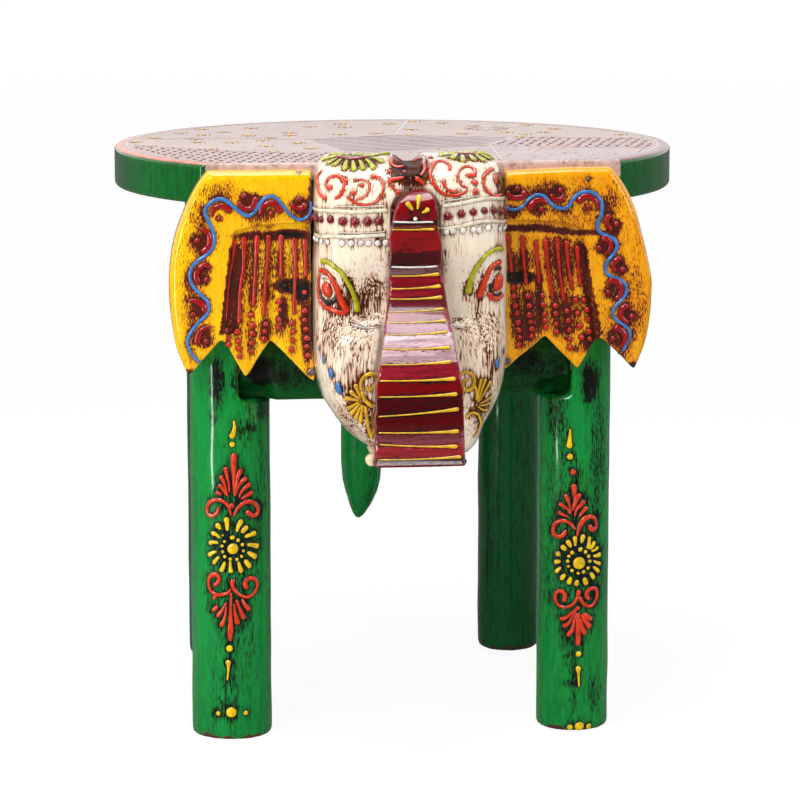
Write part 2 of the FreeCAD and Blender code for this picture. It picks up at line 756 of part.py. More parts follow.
def makeTusk(side):
    sign = sideSign[side]
    body = newBody("tusk_" + side, (frameX + sign * S.tuskSpread / 2, frontPlane, tuskHeight))
    radius = S.tuskDiameter / 2
    tip = S.headDepth + S.tuskStandOut
    # The dome is part of a ball about a place on the peg's axis
    centre = tip - S.tuskDome
    points = [(0, tuskRoot), (radius, tuskRoot), (radius, centre + thirdSide(S.tuskDome, radius)),
              (0, tip)]
    middle = (radius / 2, -(centre + thirdSide(S.tuskDome, radius / 2)))
    sketch = outline(body, side + "_tusk_profile", "XY_Plane", [(x, -y) for x, y in points],
                     {2: middle})
    turned = body.newObject("PartDesign::Revolution", side + "_tusk_turned")
    turned.Profile = sketch
    turned.ReferenceAxis = (sketch, ["V_Axis"])
    turned.Angle = 360
    doc.recompute()
    return body


# Ears: thick boards with three points below and a sunk, fluted fold beside the head. The
# places are shares of the ear's width from the head outward and of its height above the tips.

tipShares = [0.868, 0.480, 0.014]
notchShares = [0.652, 0.285]
topCornerShare = 0.730
cornerShares = (0.815, 0.929)
shoulderShares = (0.890, 0.835)
bellyShares = (1.000, 0.480)
lowShares = (0.935, 0.110)
foldTopShare = 0.69
foldTopInShare = 0.72
foldOutTopShare = 0.53
foldOutFootShare = 0.652
foldCrownShares = (0.26, 0.725)
fluteStartShare = 0.10
fluteTopShare = 0.67


def makeEar(side):
    sign = sideSign[side]
    body = newBody("ear_" + side, faceOrigin)

    def at(across, up):
        return earPlace(sign, across, earTip + S.earHeight * up)

    notchUp = S.earNotchRise / S.earHeight
    points = [at(0, 1), at(topCornerShare, 1), at(*shoulderShares), at(*lowShares),
              at(tipShares[0], 0), at(notchShares[0], notchUp), at(tipShares[1], 0),
              at(notchShares[1], notchUp), at(tipShares[2], 0), at(0, 0)]
    through = {1: at(*cornerShares), 2: at(*bellyShares)}
    sketch = outline(body, side + "_ear_outline", "XZ_Plane", points, through)
    board = pad(body, side + "_ear_board", sketch, S.earThick)
    face = -S.earThick.value
    inner = S.headWidth.value / 2 + 2 * S.seamGap.value

    def outerEdge(edge):
        # The top and outer edges of the front face, not the points below or the edge at the head
        box = edge.BoundBox
        onFace = abs(box.YMin - face) < sameSpot and abs(box.YMax - face) < sameSpot
        top = box.ZMin > earTop.value - sameSpot
        outer = min(abs(box.XMin), abs(box.XMax)) > inner
        low = box.ZMax <= (earTip + S.earNotchRise).value + sameSpot
        return onFace and (top or (outer and not low))

    trimEdges(body, side + "_ear_round", board, S.earEdgeRound, outerEdge, "PartDesign::Fillet")
    below = earTip - S.cutOver
    inside = sign * (S.headWidth / 2 - S.cutOver)
    foldPoints = [(inside, below), (at(foldOutFootShare, 0)[0], below),
                  at(foldOutTopShare, foldTopShare), (inside, at(0, foldTopInShare)[1])]
    foldThrough = {2: at(*foldCrownShares)}
    sketch = outline(body, side + "_fold_outline", "XZ_Plane", foldPoints, foldThrough,
                     S.earThick + S.cutOver)
    pocket(body, side + "_fold", sketch, S.foldSink + S.cutOver)
    foldFace = -(S.earThick - S.foldSink)
    spot = (at(fluteStartShare, 0)[0], foldFace - S.fluteRadius + S.fluteDepth, below)
    length = earTip + S.earHeight * fluteTopShare - below
    flute = cutHole(body, side + "_flute", spot, "+Z", S.fluteRadius, length)
    pattern = body.newObject("PartDesign::LinearPattern", side + "_flutes")
    pattern.Originals = [flute]
    pattern.Direction = (planeOf(body, "YZ_Plane"), [""])
    pattern.Reversed = sign < 0
    pattern.setExpression("Length", ((S.fluteCount - 1) * S.fluteSpacing).text)
    pattern.setExpression("Occurrences", S.fluteCount.text)
    body.Tip = pattern
    doc.recompute()
    for index, plan in enumerate(screws):
        if plan["through"] == "ear_" + side:
            sinkScrew(body, "%s_ear_screw_%d" % (side, index), minus(plan["head"], faceOrigin), plan)
    return body


# Tail: a turned piece with a pointed end, lapped onto the rear board

tailShares = [
    (0.00, 1.000), (0.72, 1.000), (1.00, 0.955), (1.00, 0.200), (0.92, 0.130), (0.79, 0.090),
    (0.54, 0.047), (0.25, 0.015), (0.00, 0.000),
]


def makeTail():
    radius = S.tailDiameter / 2
    boardFace = rearBoardY + S.rearBoardThick / 2
    origin = (rearX, boardFace + radius - S.tailLap, 0)
    body = newBody("tail", origin)
    top = boardFoot + S.tailLapHeight
    tip = top - S.tailLength
    points = [(0 if across == 0 else radius * across, tip + S.tailLength * up)
              for across, up in tailShares]
    sketch = outline(body, "tail_profile", "XZ_Plane", points)
    turned = body.newObject("PartDesign::Revolution", "tail_turned")
    turned.Profile = sketch
    turned.ReferenceAxis = (sketch, ["V_Axis"])
    turned.Angle = 360
    doc.recompute()
    cutBox(body, "tail_lap", (-radius - S.cutOver, -radius - S.cutOver, boardFoot - S.fitGap),
           (radius + S.cutOver, S.tailLap - radius, top + S.cutOver))
    for index, plan in enumerate(screws):
        if plan["into"] == "tail":
            cutHole(body, "tail_screw_%d" % index, minus(plan["seam"], origin), plan["way"],
                    screwHole, plan["bite"] + S.fitGap)
    return body


# Screws: a countersunk head, a plain shank and a point

def screw(name, spot, way, length):
    # spot is the middle of the head's flat face; the screw runs along way.
    head = cone(name + "_head", spot, way, S.screwHead / 2, S.screwDiameter / 2, S.screwHeadDepth)
    neck = along(spot, way, S.screwHeadDepth)
    shank = rod(name + "_shank", neck, way, S.screwDiameter / 2,
                length - S.screwHeadDepth - S.screwPoint)
    tip = cone(name + "_tip", along(spot, way, length - S.screwPoint), way, S.screwDiameter / 2, 0,
               S.screwPoint)
    whole = doc.addObject("Part::MultiFuse", name)
    whole.Shapes = [head, shank, tip]
    return whole


def makeScrews(name):
    items = []
    for index, plan in enumerate(screws):
        if plan["group"] == name:
            run = screwRun(plan)
            items.append(screw("%s_%d" % (name, index), plan["head"], plan["way"], run + plan["bite"]))
    return group(name, items)


# The assembly

parts = [makeSeat()]
parts += [makeLeg(name) for name in legSpot]
parts += makeBoards()
parts.append(makeDowels())
parts.append(makeHead())
parts.append(makeTrunk())
parts.append(makePegs())
parts += [makeTusk(side) for side in sideSign]
parts += [makeEar(side) for side in sideSign]
parts.append(makeTail())
parts += [makeScrews(name) for name in ("head_screws", "ear_screws", "tail_screws")]
doc.recompute()

for item in doc.Objects:
    if "Invalid" in item.State or "Error" in item.State:
        raise ValueError("%s failed: %s" % (item.Name, item.State))
for part in parts:
    if part.Shape.isNull() or not part.Shape.isValid() or not part.Shape.Solids:
        raise ValueError(part.Label + " is not a sound solid")

os.makedirs("parts", exist_ok=True)
for part in parts:
    part.Shape.exportStep("parts/%s.step" % part.Label)
    print("%-18s %d solid(s) %9.0f mm3" % (part.Label, len(part.Shape.Solids), part.Shape.Volume))
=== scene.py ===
import math
import random

import bmesh
import bpy
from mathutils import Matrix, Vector, kdtree, noise
from mathutils.bvhtree import BVHTree


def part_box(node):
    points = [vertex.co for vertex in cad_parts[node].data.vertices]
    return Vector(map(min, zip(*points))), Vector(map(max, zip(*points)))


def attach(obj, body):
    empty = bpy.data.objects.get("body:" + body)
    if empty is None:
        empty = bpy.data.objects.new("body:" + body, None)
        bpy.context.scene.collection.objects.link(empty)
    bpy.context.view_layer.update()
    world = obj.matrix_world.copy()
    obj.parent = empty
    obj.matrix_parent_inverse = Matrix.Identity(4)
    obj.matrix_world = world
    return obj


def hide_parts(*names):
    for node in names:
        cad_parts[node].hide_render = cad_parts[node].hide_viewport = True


# The carved elephant stool's looks, in metres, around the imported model.
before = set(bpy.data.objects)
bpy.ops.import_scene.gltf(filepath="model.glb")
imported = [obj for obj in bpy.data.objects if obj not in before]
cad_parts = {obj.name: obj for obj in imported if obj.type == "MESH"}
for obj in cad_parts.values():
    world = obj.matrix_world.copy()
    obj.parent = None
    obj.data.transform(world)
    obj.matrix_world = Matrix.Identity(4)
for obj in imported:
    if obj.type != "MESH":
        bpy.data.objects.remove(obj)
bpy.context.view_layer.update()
scene = bpy.context.scene
mm = 0.001


# Camera: where the photo was taken from, and the way back from one of its pixels

camera = {
    "place": Vector((-0.18707, -1.85597, 0.47849)),
    "target": Vector((0.0043, 0.028, 0.1616)),
    "lens": 157.5,    # mm on a 36 mm wide sensor
    "sensor": 36.0,
    "picture": 800,   # pixels each way
    "pixelsPerMm": 1.95,
}
camera["forward"] = (camera["target"] - camera["place"]).normalized()
camera["right"] = camera["forward"].cross(Vector((0, 0, 1))).normalized()
camera["up"] = camera["right"].cross(camera["forward"])
camera["focalPixels"] = camera["lens"] / camera["sensor"] * camera["picture"]


def sightLine(x, y):
    # direction from the camera through a pixel of the photo
    across = (x - camera["picture"] / 2) / camera["focalPixels"]
    down = (y - camera["picture"] / 2) / camera["focalPixels"]
    return (camera["forward"] + camera["right"] * across - camera["up"] * down).normalized()


def photoPixel(point):
    # the pixel of the photo where a point shows
    away = point - camera["place"]
    scale = camera["focalPixels"] / away.dot(camera["forward"])
    middle = camera["picture"] / 2
    return middle + away.dot(camera["right"]) * scale, middle - away.dot(camera["up"]) * scale


# Small helpers for nodes and colours

def srgb(red, green, blue):
    # a 0-255 screen colour as the linear one that nodes take
    def straight(part):
        part /= 255
        return part / 12.92 if part < 0.04 else ((part + 0.055) / 1.055) ** 2.4
    return (straight(red), straight(green), straight(blue), 1.0)


def place(tree, kind, inputs=None, **settings):
    # a new node; inputs are sockets to link or plain values, by name or number
    node = tree.nodes.new(kind)
    for key, value in settings.items():
        setattr(node, key, value)
    for key, value in (inputs or {}).items():
        if isinstance(value, bpy.types.NodeSocket):
            tree.links.new(value, node.inputs[key])
        else:
            node.inputs[key].default_value = value
    return node


def calc(tree, operation, first, second=0.0, clamp=False):
    node = place(tree, "ShaderNodeMath", {0: first, 1: second}, operation=operation)
    node.use_clamp = clamp
    return node.outputs[0]


def mixColour(tree, factor, first, second, how="MIX"):
    node = place(tree, "ShaderNodeMix", {0: factor, 6: first, 7: second}, data_type="RGBA")
    node.blend_type = how
    return node.outputs[2]


def smoothBetween(tree, value, low, high):
    # 0 below low, 1 above high
    node = place(tree, "ShaderNodeMapRange", {0: value, 1: low, 2: high},
                 interpolation_type="SMOOTHSTEP")
    return node.outputs[0]


def noiseValue(tree, vector, scale, detail=3.0, rough=0.55):
    return place(tree, "ShaderNodeTexNoise", {
        "Vector": vector, "Scale": scale, "Detail": detail, "Roughness": rough}).outputs["Fac"]


def stretched(tree, vector, factors):
    return place(tree, "ShaderNodeVectorMath", {0: vector, 1: factors},
                 operation="MULTIPLY").outputs[0]


def attributeValue(tree, name):
    return place(tree, "ShaderNodeAttribute", attribute_name=name)


def addSockets(tree, direction, sockets):
    for name, kind in sockets:
        tree.interface.new_socket(name, in_out=direction, socket_type="NodeSocket" + kind)


# Shared shader groups: the dark stain that was wiped over the paint, with painted shadow in some
# places, and the brush marks

stainAndShadowRule = {
    "broad": 0.12,           # scale of the wide streaks against the fine ones
    "nearPower": 1.4,        # how fast the stain thins away from raised paint
    "bare": 0.68,            # fine noise above this is stained where there is neither dirt nor painted shade
    "perDirtAndShade": 0.2,          # how much lower that goes for each unit of dirt and painted shade
    "mostDirtAndShade": 2.0,
    "edge": 0.06,            # softness of the full stain's edge
    "filmEdge": 0.13,        # width of the thin film round it
    "filmTint": (0.62, 0.32, 0.2, 1.0),
    "inner": (0.03, 0.2),    # from where to where it darkens inwards
    "innerTint": (0.45, 0.36, 0.38, 1.0),
    # nearness to raised paint at which a dark fringe sets in along its foot: partly the stain's
    # edge, partly a painted shadow of the raised lines
    "outline": (0.78, 0.96),
    "soot": (2.1, 2.8),      # dirt and painted shade at which it turns near black
    "sootColour": (26, 14, 14),
}


def makeStainAndShadowGroup():
    rule = stainAndShadowRule
    tree = bpy.data.node_groups.new("WipedStainAndPaintedShadow", "ShaderNodeTree")
    addSockets(tree, "INPUT", [
        ("Vector", "Vector"), ("Paint", "Color"), ("Stain", "Color"), ("Near", "Float"),
        ("StainAndShadeAmount", "Float"), ("Halo", "Float"), ("Streaks", "Float"), ("Fineness", "Float"),
        ("OutlineAndPaintedShadow", "Float"), ("Film", "Float")])
    addSockets(tree, "OUTPUT", [("Color", "Color"), ("Mask", "Float")])
    source = place(tree, "NodeGroupInput").outputs
    fine = noiseValue(tree, source["Vector"], source["Fineness"], 3.0, 0.6)
    broad = noiseValue(tree, source["Vector"],
                       calc(tree, "MULTIPLY", source["Fineness"], rule["broad"]), 2.0)
    close = calc(tree, "POWER", source["Near"], rule["nearPower"])
    dirtAndShade = calc(tree, "ADD", calc(tree, "MULTIPLY", close, source["Halo"]), source["StainAndShadeAmount"])
    spread = calc(tree, "MULTIPLY", calc(tree, "SUBTRACT", broad, 0.5), source["Streaks"])
    dirtAndShade = calc(tree, "ADD", dirtAndShade, spread)
    threshold = calc(tree, "SUBTRACT", rule["bare"], calc(
        tree, "MULTIPLY", calc(tree, "MINIMUM", dirtAndShade, rule["mostDirtAndShade"]), rule["perDirtAndShade"]))
    mask = smoothBetween(tree, fine, threshold, calc(tree, "ADD", threshold, rule["edge"]))
    film = smoothBetween(tree, fine, calc(tree, "SUBTRACT", threshold, rule["filmEdge"]),
                         threshold)
    # the dark fringe along the foot of raised paint, partly stain and partly painted shadow
    outline = smoothBetween(tree, source["Near"], *rule["outline"])
    shade = calc(tree, "MAXIMUM", mask, calc(tree, "MULTIPLY", outline, source["OutlineAndPaintedShadow"]), True)
    # a thin film first, then the full stain with its painted shadow, near black where it lies
    # thickest
    thin = mixColour(tree, calc(tree, "MULTIPLY", film, source["Film"]), source["Paint"],
                     mixColour(tree, 1.0, source["Paint"], rule["filmTint"], "MULTIPLY"))
    inner = smoothBetween(tree, fine, *[calc(tree, "ADD", threshold, part)
                                        for part in rule["inner"]])
    tone = mixColour(tree, inner, source["Stain"],
                     mixColour(tree, 1.0, source["Stain"], rule["innerTint"], "MULTIPLY"))
    soot = smoothBetween(tree, dirtAndShade, *rule["soot"])
    thick = mixColour(tree, soot, tone, srgb(*rule["sootColour"]))
    colour = mixColour(tree, shade, thin, thick)
    place(tree, "NodeGroupOutput", {"Color": colour, "Mask": shade})
    return tree


brushRule = {
    "cloudScale": 0.15,      # scale of the clouds against the brush hairs
    "hairShare": 0.6,
    "cloudShare": 0.4,
    "range": (0.42, 0.62),   # where the deeper colour sets in
}


def makeBrushGroup():
    rule = brushRule
    tree = bpy.data.node_groups.new("BrushMarks", "ShaderNodeTree")
    addSockets(tree, "INPUT", [("Vector", "Vector"), ("Paint", "Color"), ("Deep", "Color"),
                               ("Amount", "Float"), ("Scale", "Float")])
    addSockets(tree, "OUTPUT", [("Color", "Color"), ("Height", "Float")])
    source = place(tree, "NodeGroupInput").outputs
    hairs = noiseValue(tree, source["Vector"], source["Scale"], 5.0, 0.6)
    clouds = noiseValue(tree, source["Vector"],
                        calc(tree, "MULTIPLY", source["Scale"], rule["cloudScale"]), 2.0)
    mask = smoothBetween(tree, calc(
        tree, "ADD", calc(tree, "MULTIPLY", hairs, rule["hairShare"]),
        calc(tree, "MULTIPLY", clouds, rule["cloudShare"])), *rule["range"])
    colour = mixColour(tree, calc(tree, "MULTIPLY", mask, source["Amount"]),
                       source["Paint"], source["Deep"])
    place(tree, "NodeGroupOutput", {"Color": colour, "Height": hairs})
    return tree


stainAndShadowGroup = makeStainAndShadowGroup()
brushGroup = makeBrushGroup()


def startMaterial(name):
    material = bpy.data.materials.new(name)
    material.use_nodes = True
    tree = material.node_tree
    return material, tree, tree.nodes["Principled BSDF"]


# Old lacquer on wood: brush marks, then the wiped stain and some painted shadow around whatever
# stands proud

plainLook = {   # what a finish has unless it says otherwise
    # outline: strength of the dark fringe along the foot of raised paint, partly stain and partly
    # painted shadow
    "grain": (1.0, 1.0, 0.16), "wipe": (1.0, 1.0, 0.3), "brush": 0.5, "brushScale": 420.0,
    "halo": 1.0, "streaks": 0.6, "fineness": 1500.0, "outline": 0.85, "film": 0.6,
    "rough": 0.18, "dull": 0.3, "coat": 0.7, "coatRough": 0.05, "bump": 0.35, "specular": 0.16,
}
footRub = {"scale": 160.0, "uneven": -0.012, "edge": (-0.0052, -0.0036)}   # metres
lacquerSkin = {"brush": 0.7, "stain": 0.35, "depth": 0.0006}   # what its small relief is made of


def makeLacquer(name, look):
    look = {**plainLook, **look}
    material, tree, shader = startMaterial(name)
    spot = place(tree, "ShaderNodeTexCoord").outputs["Object"]
    base = srgb(*look["paint"])
    if "attribute" in look:
        base = attributeValue(tree, look["attribute"]).outputs["Color"]
    brush = place(tree, "ShaderNodeGroup", {
        "Vector": stretched(tree, spot, look["grain"]), "Paint": base,
        "Deep": srgb(*look["deep"]), "Amount": look["brush"], "Scale": look["brushScale"]},
        node_tree=brushGroup)
    stain = place(tree, "ShaderNodeGroup", {
        "Vector": stretched(tree, spot, look["wipe"]), "Paint": brush.outputs["Color"],
        "Stain": srgb(*look["stain"]), "Near": attributeValue(tree, "near").outputs["Fac"],
        "StainAndShadeAmount": attributeValue(tree, "stainAndShadeAmount").outputs["Fac"], "Halo": look["halo"],
        "Streaks": look["streaks"], "Fineness": look["fineness"], "OutlineAndPaintedShadow": look["outline"],
        "Film": look["film"]}, node_tree=stainAndShadowGroup)
    colour = stain.outputs["Color"]
    if "footWear" in look:
        # bare, reddish wood low down where the feet rub
        height = place(tree, "ShaderNodeSeparateXYZ", {0: spot}).outputs[2]
        rub = calc(tree, "ADD", height, calc(tree, "MULTIPLY", noiseValue(
            tree, stretched(tree, spot, (1.0, 1.0, 0.5)), footRub["scale"]), footRub["uneven"]))
        bare = calc(tree, "SUBTRACT", 1.0, smoothBetween(tree, rub, *footRub["edge"]))
        colour = mixColour(tree, bare, colour, srgb(*look["footWear"]))
    tree.links.new(colour, shader.inputs["Base Color"])
    # stained places, painted shadow included, are duller
    dulled = calc(tree, "MULTIPLY", stain.outputs["Mask"], look["dull"])
    tree.links.new(calc(tree, "ADD", look["rough"], dulled), shader.inputs["Roughness"])
    tree.links.new(calc(tree, "MULTIPLY", calc(tree, "SUBTRACT", 1.0, dulled), look["coat"]),
                   shader.inputs["Coat Weight"])
    height = calc(tree, "SUBTRACT",
                  calc(tree, "MULTIPLY", brush.outputs["Height"], lacquerSkin["brush"]),
                  calc(tree, "MULTIPLY", stain.outputs["Mask"], lacquerSkin["stain"]))
    bump = place(tree, "ShaderNodeBump", {"Height": height, "Strength": look["bump"],
                                          "Distance": lacquerSkin["depth"]})
    tree.links.new(bump.outputs[0], shader.inputs["Normal"])
    shader.inputs["Coat Roughness"].default_value = look["coatRough"]
    shader.inputs["Specular IOR Level"].default_value = look["specular"]
    return material


# Raised enamel: thick, glossy paint, with stain caught along its foot

enamelRule = {
    "patchScale": 260.0, "patchRange": (0.35, 0.7), "patchTone": 0.82,
    "wearScale": 1500.0, "wear": 0.5,   # how unevenly the stain lies along the foot
    "rough": 0.12, "footRough": 0.3, "bump": 0.25, "depth": 0.0005,
    "coatRough": 0.03, "specular": 0.4,
}


def makeEnamel(name, paint, stain=(52, 22, 12), foot=(0.12, 0.42)):
    rule = enamelRule
    material, tree, shader = startMaterial(name)
    spot = place(tree, "ShaderNodeTexCoord").outputs["Object"]
    patches = noiseValue(tree, spot, rule["patchScale"], 3.0)
    tone = mixColour(tree, smoothBetween(tree, patches, *rule["patchRange"]), srgb(*paint),
                     srgb(*[part * rule["patchTone"] for part in paint]))
    rise = attributeValue(tree, "rise").outputs["Fac"]
    worn = calc(tree, "ADD", rise, calc(tree, "MULTIPLY", calc(
        tree, "SUBTRACT", noiseValue(tree, spot, rule["wearScale"]), 0.5), rule["wear"]))
    low = calc(tree, "SUBTRACT", 1.0, smoothBetween(tree, worn, *foot))
    tree.links.new(mixColour(tree, low, tone, srgb(*stain)), shader.inputs["Base Color"])
    tree.links.new(calc(tree, "ADD", rule["rough"], calc(
        tree, "MULTIPLY", low, rule["footRough"])), shader.inputs["Roughness"])
    bump = place(tree, "ShaderNodeBump", {"Height": patches, "Strength": rule["bump"],
                                          "Distance": rule["depth"]})
    tree.links.new(bump.outputs[0], shader.inputs["Normal"])
    shader.inputs["Coat Weight"].default_value = 1.0
    shader.inputs["Coat Roughness"].default_value = rule["coatRough"]
    shader.inputs["Specular IOR Level"].default_value = rule["specular"]
    return material


def makeBareWood(name, light, dark):
    material, tree, shader = startMaterial(name)
    spot = place(tree, "ShaderNodeTexCoord").outputs["Object"]
    grain = noiseValue(tree, stretched(tree, spot, (1.0, 0.12, 1.0)), 500.0, 5.0, 0.6)
    tree.links.new(mixColour(tree, smoothBetween(tree, grain, 0.35, 0.65), srgb(*light),
                             srgb(*dark)), shader.inputs["Base Color"])
    shader.inputs["Roughness"].default_value = 0.7
    bump = place(tree, "ShaderNodeBump", {"Height": grain, "Strength": 0.3, "Distance": 0.0004})
    tree.links.new(bump.outputs[0], shader.inputs["Normal"])
    return material


def makeScrewSteel(name):
    material, tree, shader = startMaterial(name)
    spot = place(tree, "ShaderNodeTexCoord").outputs["Object"]
    spots = noiseValue(tree, spot, 900.0, 4.0)
    tree.links.new(mixColour(tree, smoothBetween(tree, spots, 0.5, 0.7), srgb(150, 146, 140),
                             srgb(92, 74, 58)), shader.inputs["Base Color"])
    tree.links.new(calc(tree, "ADD", 0.3, calc(tree, "MULTIPLY", spots, 0.3)),
                   shader.inputs["Roughness"])
    shader.inputs["Metallic"].default_value = 0.9
    return material


finishes = {
    "legGreen": {"paint": (10, 142, 58), "deep": (2, 104, 40), "stain": (6, 22, 12), "brush": 0.6,
                 "halo": 0.9, "streaks": 1.3, "film": 0.25, "footWear": (88, 46, 34), "coat": 0.8,
                 "brushScale": 620.0, "wipe": (1.0, 1.0, 0.12), "dull": 0.2, "bump": 0.22,
                 "fineness": 2100.0},
    # the rear legs: the front legs' green made darker, painted shade of the legs standing back
    # under the seat
    "rearGreen": {"paint": (2, 86, 34), "deep": (2, 58, 24), "stain": (4, 14, 8), "brush": 0.6,
                  "halo": 1.0, "streaks": 1.2, "footWear": (74, 40, 32), "coat": 0.6,
                  "wipe": (1.0, 1.0, 0.1)},
    "boardGreen": {"paint": (6, 78, 24), "deep": (2, 44, 14), "stain": (4, 12, 7), "brush": 0.7,
                   "streaks": 1.6, "coat": 0.3, "coatRough": 0.16, "grain": (0.2, 0.2, 1.0)},
    "edgeGreen": {"paint": (4, 104, 34), "deep": (2, 62, 20), "stain": (4, 14, 10), "brush": 0.6,
                  "streaks": 0.7, "coat": 0.8},
    "earYellow": {"paint": (255, 198, 6), "deep": (246, 162, 8), "stain": (118, 38, 8),
                  "brush": 0.5, "halo": 0.9, "streaks": 1.4, "fineness": 2000.0, "coat": 0.9,
                  "wipe": (1.0, 1.0, 0.25)},
    "earAmber": {"paint": (250, 176, 8), "deep": (238, 140, 8), "stain": (108, 32, 6),
                 "brush": 0.5, "halo": 0.9, "streaks": 1.6, "fineness": 2000.0, "coat": 0.9,
                 "wipe": (1.0, 1.0, 0.25)},
    "headIvory": {"paint": (252, 240, 218), "deep": (240, 218, 184), "stain": (106, 54, 24),
                  "brush": 0.5, "halo": 0.9, "streaks": 1.45, "wipe": (1.0, 1.0, 0.06),
                  "fineness": 1300.0, "coat": 0.8, "dull": 0.85},
    "tuskCream": {"paint": (244, 226, 186), "deep": (226, 200, 150), "stain": (70, 40, 18),
                  "brush": 0.5, "halo": 0.4},
    # the trunk's colour comes from the band attribute, which holds painted highlight and painted
    # shade besides the bands
    "trunkCrimson": {"paint": (150, 10, 18), "deep": (50, 3, 6), "stain": (28, 4, 6),
                     "attribute": "bandColour", "brush": 0.5, "halo": 0.9, "streaks": 1.0,
                     "grain": (0.12, 1.0, 1.0), "rough": 0.2, "coat": 1.0,
                     "wipe": (0.25, 1.0, 1.0)},
    "seatPaint": {"paint": (190, 150, 140), "deep": (116, 74, 74), "stain": (70, 34, 30),
                  "attribute": "panelColour", "brush": 0.5, "halo": 0.35, "streaks": 1.0,
                  "grain": (1.0, 1.0, 1.0), "wipe": (0.4, 1.0, 1.0), "fineness": 620.0,
                  "brushScale": 340.0, "rough": 0.26, "coat": 0.4, "bump": 0.15, "outline": 0.3},
}
finish = {name: makeLacquer(name, look) for name, look in finishes.items()}
finish.update({
    "orangeRed": makeEnamel("orangeRed", (232, 60, 18), (70, 8, 4)),
    "dripRed": makeEnamel("dripRed", (206, 34, 12), (70, 8, 4)),
    "crimson": makeEnamel("crimson", (168, 8, 14), (38, 4, 4)),
    "beadRed": makeEnamel("beadRed", (134, 6, 26), (60, 10, 14)),
    "lime": makeEnamel("lime", (190, 192, 16), (70, 44, 8)),
    "blue": makeEnamel("blue", (62, 130, 204), (16, 26, 44)),
    "ochre": makeEnamel("ochre", (240, 186, 26), (96, 44, 8)),
    "yellow": makeEnamel("yellow", (252, 208, 10), (40, 30, 8)),
    "cream": makeEnamel("cream", (250, 240, 210), (96, 54, 28), (0.28, 0.6)),
    "pearl": makeEnamel("pearl", (252, 246, 236), (78, 40, 22), (0.2, 0.5)),
    "black": makeEnamel("black", (26, 22, 22), (10, 8, 8)),
    "maroon": makeEnamel("maroon", (104, 34, 38), (60, 20, 20)),
    "palePink": makeEnamel("palePink", (240, 232, 226), (150, 110, 100)),
    "rawWood": makeBareWood("rawWood", (196, 156, 108), (150, 108, 68)),
    "screwSteel": makeScrewSteel("screwSteel"),
})
print("materials:", len(finish))


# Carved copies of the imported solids: softened edges and a slightly uneven, hand-worked face

def plainMesh(holder, name):
    # the object with its modifiers applied, as a mesh of its own
    evaluated = holder.evaluated_get(bpy.context.evaluated_depsgraph_get())
    mesh = bpy.data.meshes.new_from_object(evaluated)
    mesh.name = name
    return mesh


def addObject(name, mesh):
    piece = bpy.data.objects.new(name, mesh)
    scene.collection.objects.link(piece)
    return piece


waves = 45.0   # per metre, of the hand-worked unevenness


def carvedCopy(node, name, material, voxel, smoothing, uneven, seed):
    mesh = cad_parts[node].data.copy()
    work = bmesh.new()
    work.from_mesh(mesh)
    bmesh.ops.remove_doubles(work, verts=work.verts, dist=1e-6)
    if node in filled:
        # the screws' heads are puttied over, so they are taken into the skin
        plug = bmesh.new()
        plug.from_mesh(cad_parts[filled[node]].data)
        bmesh.ops.remove_doubles(plug, verts=plug.verts, dist=1e-6)
        middle = sum((v.co.x for v in plug.verts), 0.0) / len(plug.verts)
        left = node.endswith("left")
        bmesh.ops.delete(plug, geom=[v for v in plug.verts if (v.co.x < middle) != left])
        plugMesh = bpy.data.meshes.new(name + "_plugs")
        plug.to_mesh(plugMesh)
        plug.free()
        work.from_mesh(plugMesh)
    work.to_mesh(mesh)
    work.free()
    holder = addObject(name + "_work", mesh)
    remesh = holder.modifiers.new("skin", "REMESH")
    remesh.mode = "VOXEL"
    remesh.voxel_size = voxel * mm
    remesh.adaptivity = 0.0
    smooth = holder.modifiers.new("soften", "SMOOTH")
    smooth.iterations = smoothing
    smooth.factor = 0.5
    skin = plainMesh(holder, name)
    bpy.data.objects.remove(holder)
    skin.materials.clear()
    skin.materials.append(finish[material])
    offset = Vector((seed, seed * 2.0, seed * 3.0))
    for vertex, normal in zip(skin.vertices, [v.normal.copy() for v in skin.vertices]):
        vertex.co += normal * noise.noise(vertex.co * waves + offset) * uneven * mm
    for polygon in skin.polygons:
        polygon.use_smooth = True
    skin.update()
    piece = addObject(name, skin)
    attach(piece, "root")
    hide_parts(node, *([filled[node]] if node in filled else []))
    return piece


filled = {"ear_left": "ear_screws", "ear_right": "ear_screws"}
